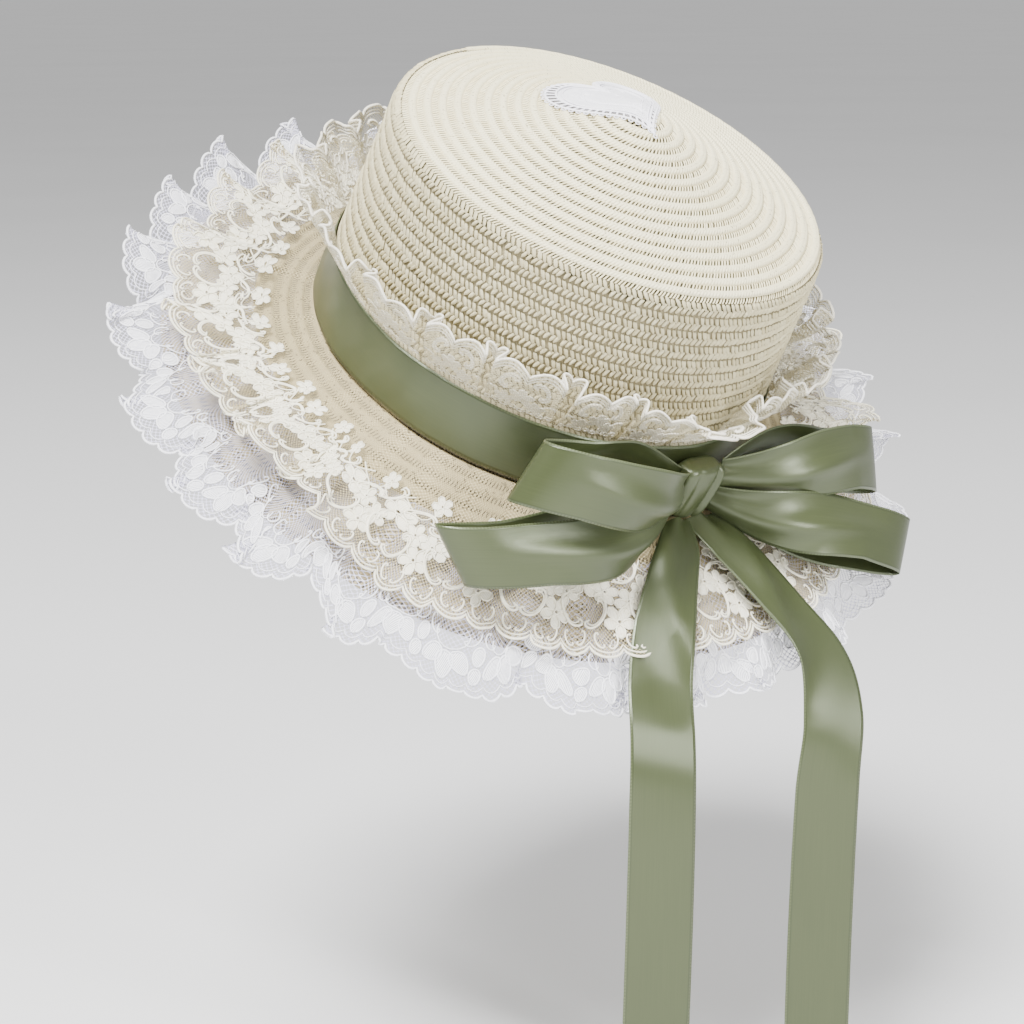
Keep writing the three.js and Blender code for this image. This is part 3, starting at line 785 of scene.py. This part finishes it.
def frill_surface():
    """Box pleats: flat flaps side by side, each folded under itself at both ends."""
    # Share of a pleat's cloth, where it lies round the crown, and how far out it is.
    cloth = np.array([0.0, 0.25, 0.27, 0.35, 0.50, 0.65, 0.73, 0.75, 1.0])
    spread = np.array([0.0, 0.438, 0.452, 0.36, 0.50, 0.64, 0.548, 0.562, 1.0])
    layer = np.array([1.0, 1.0, 0.86, 0.16, 0.0, 0.16, 0.86, 1.0, 1.0])
    per, rows = 44, 18
    fine = np.arange(FLAPS * per + 1) / per
    x = np.floor(fine) + np.interp(fine % 1.0, cloth, spread)
    high = np.interp(fine % 1.0, cloth, layer)[:, None]
    dice = np.random.RandomState(11).normal(0, 1, (FLAPS, 4))
    mine = dice[(np.floor(fine + 0.5) % FLAPS).astype(int)]
    wander = 0.10 * np.sin(x * TAU / FLAPS * 3 + 1) + 0.06 * np.sin(x * TAU / FLAPS * 8)
    b = ((x + wander) * TAU / FLAPS)[:, None] + math.pi
    within = (x - np.round(x))[:, None]
    t = np.linspace(0, 1, rows + 1)[None, :]
    bearing = (np.degrees(b) + 180) % 360 - 180
    flop = 46 * hump(bearing + 4, 16) + 14 * np.clip(mine[:, :1], -1, 1.6)
    lean = np.radians(eased(FRILL_LEAN, b) + flop * np.clip((t - 0.30) / 0.5, 0, 1))
    step = np.full(t.shape, FRILL_LACE[0] / rows)
    step[0, 0] = 0
    reach = 1 + 0.03 * mine[:, 1:2]
    out = np.cumsum(step * np.sin(lean), 1) * reach
    up = np.cumsum(step * np.cos(lean), 1) * reach
    out = out + high * (1.0 + 4.6 * np.minimum(1, t / 0.5) + 1.6 * t)
    out = out + high * 7.0 * mine[:, 2:3] * within * t
    out = out + high * 1.1 * t * np.cos(within * TAU * 2)
    foot = BAND_TOP + 0.4
    points = at(wall_radius(foot) + 0.7 + out, b, foot + up)
    return Sheet(tipped(points), PLEAT_CLOTH * FLAPS, FRILL_LACE[0])


def spread(u, v):
    """Centres of motifs, ready to be added to a row of steps."""
    u, v = np.broadcast_arrays(np.asarray(u, float), np.asarray(v, float))
    return u[:, None], v[:, None]


def scalloped(sheet, lace, inset, steps):
    """A cord's path along the scalloped edge, a little inside it."""
    width, scallop, depth = lace
    count = round(sheet.length / scallop)
    u = np.linspace(0, sheet.length, count * steps + 1)[:-1]
    bow = np.abs(np.sin(u * math.pi * count / sheet.length))
    return np.stack([u, width - depth + depth * bow ** 0.7 - inset], -1)[None]


def closed(u, v, ru, rv, steps, turn=0.0, tip=0.0):
    """Closed outlines about many centres, leaf-shaped when tip is more than 0."""
    a = np.linspace(0, TAU, steps, endpoint=False)[None, :]
    x, y = ru * np.cos(a), rv * np.sin(a) * (1 - tip * np.cos(a) * 0.5)
    cu, cv = spread(u, v)
    return np.stack([cu + x * np.cos(turn) - y * np.sin(turn), cv + x * np.sin(turn) + y * np.cos(turn)], -1)


def scroll(u, v, size, steps, turns, mirror, turn):
    """C-scrolls about many centres: an open bow whose two ends curl in."""
    fine = np.linspace(-1, 1, 241)
    heading = turns * fine + 3.4 * np.sign(fine) * np.abs(fine) ** 4
    x = np.concatenate([[0], np.cumsum(-np.sin(heading)[:-1])])
    y = np.concatenate([[0], np.cumsum(np.cos(heading)[:-1])])
    x, y = x - (x.max() + x.min()) / 2, y - (y.max() + y.min()) / 2
    scale = 2 * size / (y.max() - y.min())
    spot = np.linspace(0, 240, steps)
    x, y = np.interp(spot, range(241), x) * scale, np.interp(spot, range(241), y) * scale
    cu, cv = spread(u, v)
    along = mirror * (x * math.cos(turn) - y * math.sin(turn))
    return np.stack([cu + along, cv + x * math.sin(turn) + y * math.cos(turn)], -1)


def flower(threads, u, v, size, petals, cord, turn, steps):
    """Flowers about many centres: corded petals round a small corded ring."""
    wider = threads.widen(v) if threads.widen else 1.0
    for k in range(petals):
        a = turn + k * TAU / petals
        ring = closed(u + size * 0.62 * math.cos(a) * wider, v + size * 0.62 * math.sin(a),
                      size * 0.46, size * 0.34, steps, a, -0.5)
        threads.cords(ring, cord, cord * 0.9, 0.1, loop=True)
        threads.petals(ring, 0.25)
    threads.cords(closed(u, v, size * 0.17, size * 0.17, 8), cord * 1.2, cord, 0.2, loop=True)


def repeats(sheet, pitch):
    """Places along a sheet, evenly spaced, about a pitch apart, and their true pitch."""
    count = round(sheet.length / pitch)
    return np.arange(count) * sheet.length / count, sheet.length / count


def white_motifs(sheet):
    """Sprays of five filled leaves, each under a bow and between two scrolls."""
    t = Threads(sheet.at, sheet.widen)
    w = sheet.width
    t.cords(scalloped(sheet, WHITE_LACE, 0.3, 7), 0.62, 0.50, loop=True)
    t.cords(scalloped(sheet, WHITE_LACE, 3.2, 5), 0.26, 0.24, loop=True)
    c, _ = repeats(sheet, 25)
    # Place of each leaf from the spray's middle and from the edge, its half sizes and turn.
    leaves = ((0, 9.5, 4.6, 3.2, 1.57), (-5.6, 11.2, 4.4, 2.7, 2.3), (5.6, 11.2, 4.4, 2.7, 0.84),
              (12.4, 8.0, 2.8, 2.2, 1.57), (12.4, 15.0, 3.4, 2.3, 1.57))
    for du, dv, ru, rv, turn in leaves:
        ring = closed(c + du, w - dv, ru, rv, 14, turn, 0.4)
        t.cords(ring, 0.42, 0.40, 0.12, loop=True)
        t.petals(ring, 0.6)
    cu, cv = spread(c, w - 20.0)
    a = np.linspace(-0.2, math.pi + 0.2, 10)[None, :]
    t.cords(np.stack([cu + 5.0 * np.cos(a), cv + 5.0 * np.sin(a)], -1), 0.34, 0.32, 0.1)
    for mirror in (-1, 1):
        t.cords(scroll(c + mirror * 8.5, w - 20.5, 3.4, 14, 1.3, mirror, 0.6), 0.34, 0.32, 0.1)
    return t.build("white_lace_flowers", WHITE_THREAD, "white_lace")


def cream_motifs(sheet):
    """Paired scrolls in each scallop, then large scrolls, flowers and stems above them."""
    t = Threads(sheet.at, sheet.widen)
    w = sheet.width
    t.cords(scalloped(sheet, CREAM_LACE, 0.4, 11), 0.55, 0.5, loop=True)
    t.cords(scalloped(sheet, CREAM_LACE, 2.0, 9), 0.34, 0.32, loop=True)
    c, pitch = repeats(sheet, CREAM_LACE[1])
    for mirror in (-1, 1):
        t.cords(scroll(c + pitch / 2 + mirror * 2.9, w - 6.0, 2.9, 13, 1.0, mirror, 0.5), 0.42, 0.38, 0.12)
    c, pitch = repeats(sheet, 30)
    c = c + 1.5 * np.sin(np.arange(len(c)) * 2.3)
    for mirror in (-1, 1):
        for size, cord in ((6.2, 0.56), (4.9, 0.36)):
            t.cords(scroll(c + mirror * 6.0, w - 15.5, size, 19, 0.9, mirror, 0.5), cord, cord * 0.9, 0.15)
    for size, cord in ((5.4, 0.5), (4.2, 0.34)):
        for share, v, mirror, turn in ((0.30, 29.5 - 1.5 * np.sin(c), 1, -1.9),
                                       (0.76, 31.0 - 1.5 * np.cos(c), -1, 2.2)):
            t.cords(scroll(c + pitch * share, w - v, size, 17, 0.9, mirror, turn), cord, cord * 0.9, 0.15)
    half = c + pitch / 2
    # Place along, place from the edge, size, cord, turn and steps of each flower.
    for u, v, size, cord, turn, steps in (
            (half, 14.0 - 0.8 * np.sin(2 * c), 5.4, 0.40, 1.57, 8),
            (half + 5.4, 21.5 - np.sin(c), 4.6, 0.34, 0.5, 8),
            (half - 5.0, 24.0 - np.cos(c), 4.2, 0.34, 1.1, 8),
            (c, 25.5 - np.sin(3 * c), 5.0, 0.38, 0.9, 8),
            (c + pitch * 0.52, 37.0 - 1.2 * np.sin(c), 3.8, 0.30, 0.3, 7)):
        flower(t, u, w - v, size, 5, cord, turn, steps)
    stem = np.linspace(0, 1, 8)[None, :]
    for side in (-1, 1):
        along = c[:, None] + side * pitch * (0.04 + 0.40 * stem)
        across = np.broadcast_to(w - 35 + 6 * np.sin(stem * math.pi), along.shape)
        t.cords(np.stack([along, across], -1), 0.32, 0.3, 0.1)
    return t.build("cream_lace_flowers", CREAM_THREAD, "cream_lace")


def frill_motifs(sheet):
    """On each flap: paired scrolls, three flowers and a row of eyelets."""
    t = Threads(sheet.at, sheet.widen)
    w = sheet.width
    for inset, cord in ((0.4, 0.72), (2.1, 0.44), (3.5, 0.36)):
        t.cords(scalloped(sheet, FRILL_LACE, inset, 12), cord, cord * 0.9, loop=True)
    c = np.arange(FLAPS) * PLEAT_CLOTH
    for mirror in (-1, 1):
        for size, cord in ((4.4, 0.68), (3.1, 0.42)):
            t.cords(scroll(c + mirror * 5.6, w - 10.0, size, 19, 1.3, mirror, 0.5), cord, cord * 0.9, 0.12)
        t.cords(scroll(c + mirror * 9.6, w - 17.5, 2.6, 13, 1.1, -mirror, 0.9), 0.40, 0.38, 0.12)
    flower(t, c, w - 15.5, 3.9, 5, 0.38, 1.57, 8)
    for side in (-1, 1):
        flower(t, c + side * 5.2, w - 20.0, 2.9, 5, 0.32, 0.4, 7)
    for k in range(8):
        ring = closed(c + (k - 3.5) * 3.1, w - 24.2 + 0.8 * (k % 2), 1.2, 0.95, 7)
        t.cords(ring, 0.28, 0.26, 0.05, loop=True)
    return t.build("frill_flowers", FRILL_THREAD, "cream_lace")


def lace_piece(name, sheet, material, slot, node, motifs):
    """The net of a lace. Its mean width and its area over that width are worked out and not kept."""
    obj = make(name, sheet.p, grid_faces(*sheet.p.shape[:2]), material, sheet.lay(), slot=slot)
    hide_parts(node)
    width = float(np.linalg.norm(np.diff(sheet.p, axis=1), axis=-1).sum(1).mean()) * MM
    sheet.area() / width


# Colour, deep colour, hole, thread and haze of each net. The colours are darker than the same lace's threads:
# painted shade.
WHITE_NET = ((0.58, 0.57, 0.69), (0.46, 0.45, 0.57), 1.9, 0.15, 0.14)
CREAM_NET = ((0.67, 0.57, 0.34), (0.51, 0.42, 0.22), 1.5, 0.05, 0.12)
FRILL_NET = ((0.66, 0.60, 0.41), (0.52, 0.46, 0.28), 1.4, 0.13, 0.16)


def build_lace(surface, motifs, lace, net, names):
    """One lace: its net and its raised threads. names: material, piece, slot and CAD node."""
    material, piece, slot, node = names
    sheet = surface()
    material = net_material(material, sheet.length, lace, *net)
    lace_piece(piece, sheet, material, slot, node, motifs(sheet))


# Satin ribbon

def ribbon_piece(name, middle, wide, width, node, bulge):
    """Ribbon along a path: middle and wide (unit) per step, width in mm, and how far each
    point of the cloth stands out. The cloth has two faces."""
    thickness = 0.45
    steps, columns = bulge.shape
    across = np.linspace(-0.5, 0.5, columns)
    out = unit(np.cross(unit(np.gradient(middle, axis=0)), wide))
    grid = middle[:, None] + wide[:, None] * (np.asarray(width)[:, None] * across)[..., None]
    grid = grid + out[:, None] * bulge[..., None]
    normal = unit(np.cross(np.gradient(grid, axis=0), np.gradient(grid, axis=1)))
    front, back = grid + normal * thickness / 2, grid - normal * thickness / 2
    run = run_along(middle)
    v = (across + 0.5) * RIBBON
    obj = make(name, np.concatenate([front, back[:, ::-1]], 1), grid_faces(steps, 2 * columns, False, True),
               SATIN, lays(run[:, None], np.concatenate([v, v[::-1]])[None], 0.0), slot="green_satin")
    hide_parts(node)


def build_band():
    b = np.linspace(0, TAU, 241) + math.pi
    low, high = at(wall_radius(BAND_Z) + 1.1, b, BAND_Z), at(wall_radius(BAND_TOP) + 1.1, b, BAND_TOP)
    across = np.linspace(-0.5, 0.5, 17)[None, :]
    b = b[:, None]
    bulge = 0.45 * np.cos(across * math.pi) + 0.10 * np.sin(b * 23 + 5 * across)
    bulge = bulge + 0.225 * np.sin(b * 9 + 3.0 * across) * (1 + np.sin(4 * b + 1))
    ribbon_piece("ribbon_round_crown", tipped((low + high) / 2), tipped(unit(high - low)),
                 np.full(len(b), RIBBON), "ribbon_band", bulge)


# Root, bend, end, direction across, opening, width at the root and leaf-like share of each loop.
LOOPS = {
    "upper_left": ((-10.9, -101.5, 18.5), (-50, -119, 33), (-87, -94, 29), (.45, .17, .88), 13, 13, .55),
    "lower_left": ((-10.9, -101.5, 8), (-62, -119, 2), (-112, -98, -4), (-.38, .63, .68), 12, 11, .5),
    "upper_right": ((10.9, -100.5, 18.5), (52, -115, 35), (95.5, -105, 15), (.06, .67, .74), 10.5, 13, .35),
    "lower_right": ((10.9, -102, 8), (50, -133, 10), (98, -138, -4), (.6, .66, .45), 8, 11, .6),
}


def build_loop(node, root, bend, end, across, opening, pinch, leaf):
    """A loop of the bow: ribbon out along a bowed spine on one side and back on the other."""
    root, bend, end = (np.array(p, float) for p in (root, bend, end))
    half = 44
    q = np.linspace(0, 1, half + 1)
    q = np.concatenate([q, q[-2::-1]])
    side = np.where(np.arange(2 * half + 1) > half, -1.0, 1.0)[:, None]
    t = (1 - (1 - q) ** 1.7)[:, None]
    spine = root * (1 - t) ** 2 + 2 * bend * t * (1 - t) + end * t * t
    tangent = unit(2 * (bend - root) * (1 - t) + 2 * (end - bend) * t)
    mix = np.minimum(1, t * 1.4)
    wide = unit(np.array([0, 0, 1.0]) * (1 - mix) + unit(np.array(across, float)) * mix)
    normal = unit(np.cross(tangent, wide))
    round_end = t ** 0.8 * np.sqrt(np.maximum(0, 1 - t ** 6))
    leaf_end = np.sin(math.pi * t ** 0.85) ** 0.9 * 0.9 + 0.32 * t * np.sqrt(np.maximum(0, 1 - t ** 5))
    gap = np.where(t >= 1, 0, 0.9 + opening * (leaf * leaf_end + (1 - leaf) * round_end))
    middle = spine + normal * gap * side
    width = pinch + (RIBBON - pinch) * np.sin(math.pi / 2 * np.clip(t[:, 0] / 0.5, 0, 1))
    a = np.linspace(-0.5, 0.5, 21)[None, :]
    crease = 1.7 * np.cos(a * TAU * 1.05 + 0.9) + 0.45 * np.exp(-t * 9) * np.cos(a * TAU * 2.6)
    ridge = hump(a * 1.6 + 0.34 - 0.62 * t, 0.26) * np.sin(math.pi * np.minimum(1, t * 1.15))
    dome = t * (1 - (2 * a) ** 2) * np.sin(t * 3.0)
    roll = np.sin(TAU * (1.05 * t + 0.35 * a) - 0.5) * np.sin(math.pi * t)
    bulge = crease * (1 - t) ** 1.6 + 1.95 * ridge + 1.6 * dome + 1.9 * roll
    bulge = bulge * np.minimum(1.0, 4 * (1 - t) + 0.12)
    ribbon_piece(node + "_satin", tipped(middle), tipped(wide), width, node,
                 bulge)


# Points down each tail as worn: x, y, z, share of the ribbon's width, facing in degrees.
TAILS = {
    "tail_left": [
        (-5.5, -91.3, -53, .55, 0), (-16, -101.5, -64.5, .88, -8), (-31, -112, -84, 1, -16),
        (-41, -120, -104, 1, -22), (-49, -130, -126, 1, -25), (-52, -132.5, -155, 1, -27),
        (-54, -133, -205, 1, -28), (-56, -133, -262, 1, -28)],
    "tail_right": [
        (6.5, -91.3, -53, .62, 0), (14, -105, -66, .92, 4), (25, -120, -85, 1, 6), (35, -132, -106, 1, 0),
        (34, -139, -129, 1, -18), (30, -140, -156, 1, -30), (28, -140, -205, 1, -32),
        (27, -140, -268, 1, -32)],
}


def catmull(rows, spots):
    """Smooth values of the rows at fractional row numbers."""
    padded = np.concatenate([[2 * rows[0] - rows[1]], rows, [2 * rows[-1] - rows[-2]]])
    i = np.minimum(spots.astype(int), len(rows) - 2)
    f = (spots - i)[:, None]
    p0, p1, p2, p3 = padded[i], padded[i + 1], padded[i + 2], padded[i + 3]
    square = (2 * p0 - 5 * p1 + 4 * p2 - p3) * f ** 2
    return 0.5 * (2 * p1 + (p2 - p0) * f + square + (3 * p1 - p0 - 3 * p2 + p3) * f ** 3)


def build_tail(node, rows, lean, sway):
    """A hanging tail. lean is the way its folds run across, sway where its long wave begins."""
    rows = np.array(rows, float)
    count = len(rows) - 1
    spots = np.linspace(0, count, 110)
    middle = catmull(rows, spots)[:, :3]
    width = RIBBON * np.interp(spots, range(count + 1), rows[:, 3])
    face = np.radians(np.interp(spots, range(count + 1), rows[:, 4]))
    wide = np.stack([np.cos(face), np.sin(face), 0 * face], -1)
    a = np.linspace(-0.5, 0.5, 19)[None, :]
    s = (spots / count)[:, None]
    bulge = 1.5 * np.exp(-s * 8) * np.cos(a * TAU * 1.2 + 0.6)
    bulge = bulge + 1.5 * hump(s * 7 - 1.5 - lean * a * 2.4, 0.55) - hump(s * 7 - 2.9 - lean * a * 1.8, 0.7)
    bulge = bulge + 0.42 * np.cos(a * math.pi) * np.sin(s * 9 + 1)
    wave = 1.6 * np.sin(s * 7.5 + sway) * (0.6 + 0.4 * lean * a)
    bulge = bulge + wave * np.clip(s * 3 - 0.4, 0, 1)
    ribbon_piece(node + "_satin", middle, wide, width, node, bulge)


def soft_power(value, power):
    return np.sign(value) * np.abs(value) ** power


def build_knot():
    """A rounded block with a slanting groove down its front."""
    levels, sides = 40, 72
    half_width, half_depth, half_height = 10.5, 6.5, 12.2
    middle_z = BAND_Z + RIBBON * 0.42
    centre = np.array([0, -(wall_radius(middle_z) + 2.0) - half_depth, middle_z])
    up = np.linspace(0, math.pi, levels + 1)[:, None]
    turn = np.linspace(0, TAU, sides, endpoint=False)[None, :]
    x = soft_power(np.sin(up), 0.45) * soft_power(np.cos(turn), 0.62) * half_width
    y = soft_power(np.sin(up), 0.45) * soft_power(np.sin(turn), 0.62) * half_depth
    z = soft_power(np.cos(up), 0.62) * half_height + 0 * turn
    lean = z / 12.5
    x = x * (1 + 0.10 * lean) * (1 - 0.08 * np.cos(lean * math.pi / 2) ** 2) + 0.8 * lean
    along = x - 3.6 - 2.8 * lean
    fold = 1.5 * hump(along, 1.1) - 0.9 * hump(along - 2.4, 1.6) + 0.7 * hump(x + 5.0 - 1.5 * lean, 1.3)
    y = y + fold * np.clip(-y / half_depth, 0, 1)
    points = np.stack([x, y, z], -1) + centre
    points[0], points[-1] = points[0].mean(0), points[-1].mean(0)
    knot = make("bow_knot_satin", tipped(points), grid_faces(levels + 1, sides, False, True), SATIN,
                lays(z, x + RIBBON / 2, 0.0), slot="green_satin")
    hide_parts("bow_knot")


# Heart

HEART_WIDTH, HEART_LENGTH = 50.0, 45.0
HEART_SHIFT = (-2.0, 8.0)       # its middle from the middle of the top


def heart_outline(a, scale=1.0):
    x = 16 * np.sin(a) ** 3 / 32
    y = (13 * np.cos(a) - 5 * np.cos(2 * a) - 2 * np.cos(3 * a) - np.cos(4 * a) + 2.5) / 29
    return x * HEART_WIDTH * scale, y * HEART_LENGTH * scale


def on_heart(u, v, h):
    """Place on the top of the crown for a point of the heart, u to the right, v to its notch."""
    x, y = np.asarray(u, float) + HEART_SHIFT[0], np.asarray(v, float) + HEART_SHIFT[1]
    r = np.hypot(x, y)
    bearing = np.arctan2(x, -y)
    slope = RISE / RING_R
    normal = unit(np.stack([slope * np.sin(bearing), -slope * np.cos(bearing), np.ones_like(r)], -1))
    p = np.stack([x, y, top_height(r) + 0.75], -1) + normal * np.asarray(h, float)[..., None]
    return tipped(p), tipped(normal)


def build_heart():
    """Close lace with corded outlines, a ladder along its rim, a picot edge and four flowers."""
    sides, rings = 120, 40
    x, y = heart_outline(np.linspace(0, TAU, sides, endpoint=False)[None, :])
    share = np.linspace(0.02, 1, rings + 1)[:, None]
    share = np.concatenate([share, share[::-1]])
    under = np.arange(2 * rings + 2)[:, None] > rings
    h = np.where(under, -0.1, 0.5 * (1 - share ** 4)) + 0 * x
    points, _ = on_heart(x * share, y * share, h)
    cloth = make("heart_lace", points, grid_faces(2 * rings + 2, sides, True, True), HEART_CLOTH,
                 lays(x * share, y * share, share), slot="heart_lace")
    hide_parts("heart_applique")
    t = Threads(on_heart)
    angle = np.linspace(0, TAU, 150, endpoint=False)
    for scale, cord in ((1.0, 0.55), (0.86, 0.50), (0.78, 0.34), (0.55, 0.34), (0.5, 0.28)):
        path = np.stack(heart_outline(angle, scale), -1)[None]
        t.cords(path, cord, cord, 0.3 if scale < 1 else 0.0, loop=True)
    fine = np.linspace(0, TAU, 1200)
    run = run_along(np.stack(heart_outline(fine), -1))
    angles = np.interp(np.linspace(0, run[-1], 58, endpoint=False), run, fine)
    outer = np.stack(heart_outline(angles, 0.99), -1)[:, None]
    inner = np.stack(heart_outline(angles, 0.87), -1)[:, None]
    k = np.linspace(0, 1, 4)[None, :, None]
    t.cords(outer * (1 - k) + inner * k, 0.46, 0.34, 0.35)
    t.cords(closed(*heart_outline(angles, 1.03), 0.85, 0.85, 8), 0.3, 0.3, 0.0, loop=True)
    flower(t, np.array([-9.0, 9.0, 0.0]), np.array([9.0, 9.0, -8.0]), 6.5, 6, 0.3, 0.4, 10)
    flower(t, np.array([0.0]), np.array([3.0]), 4.5, 5, 0.28, 0.4, 10)
    edge = t.build("heart_lace_edge", HEART_THREAD, "heart_lace")


build_crown()
build_braid()
build_ladder()
build_wall()
build_brim()
build_lace(white_surface, white_motifs, WHITE_LACE, WHITE_NET,
           ("white_net", "white_lace_ruffle", "white_lace", "white_ruffle"))
build_lace(cream_surface, cream_motifs, CREAM_LACE, CREAM_NET,
           ("cream_net", "cream_lace_ruffle", "cream_lace", "cream_ruffle"))
build_band()
build_lace(frill_surface, frill_motifs, FRILL_LACE, FRILL_NET,
           ("frill_net", "crown_lace_frill", "cream_lace", "crown_frill"))
build_knot()
for corner, loop in LOOPS.items():
    build_loop("bow_loop_" + corner, *loop)
build_tail("tail_left", TAILS["tail_left"], lean=1, sway=1.0)
build_tail("tail_right", TAILS["tail_right"], lean=-1, sway=2.6)
build_heart()


# Floor and light

FLOOR_Z = -300.0
FLOOR_RADII = (0.2, 600, 2000, 12000, 160000)
WORLD_STRENGTH = 0.72


def build_floor():
    """A wide round floor, well below the hanging tails."""
    angle = np.linspace(0, TAU, 64, endpoint=False)[None, :]
    points = at(np.array(FLOOR_RADII)[:, None], angle, FLOOR_Z)
    floor = make("floor", points, grid_faces(len(FLOOR_RADII), 64, False, True), floor_material())


def softbox(name, place, wide, tall, watts):
    """An area light aimed at the hat. Metres."""
    data = bpy.data.lights.new(name, "AREA")
    data.shape = "RECTANGLE"
    data.size, data.size_y = wide, tall
    data.energy = watts
    light = bpy.data.objects.new(name, data)
    bpy.context.scene.collection.objects.link(light)
    light.location = place
    aim = Vector((0, -0.05, 0)) - Vector(place)
    light.rotation_euler = aim.to_track_quat("-Z", "Y").to_euler()


def set_world():
    world = bpy.data.worlds.new("studio")
    bpy.context.scene.world = world
    world.use_nodes = True
    background = world.node_tree.nodes["Background"]
    background.inputs[0].default_value = (1.0, 1.0, 1.0, 1.0)
    background.inputs[1].default_value = WORLD_STRENGTH


build_floor()
set_world()
softbox("key", (-1.4, -0.65, 2.15), 0.9, 0.9, 240)
softbox("strip", (0.05, -2.3, 0.75), 0.35, 1.3, 52)
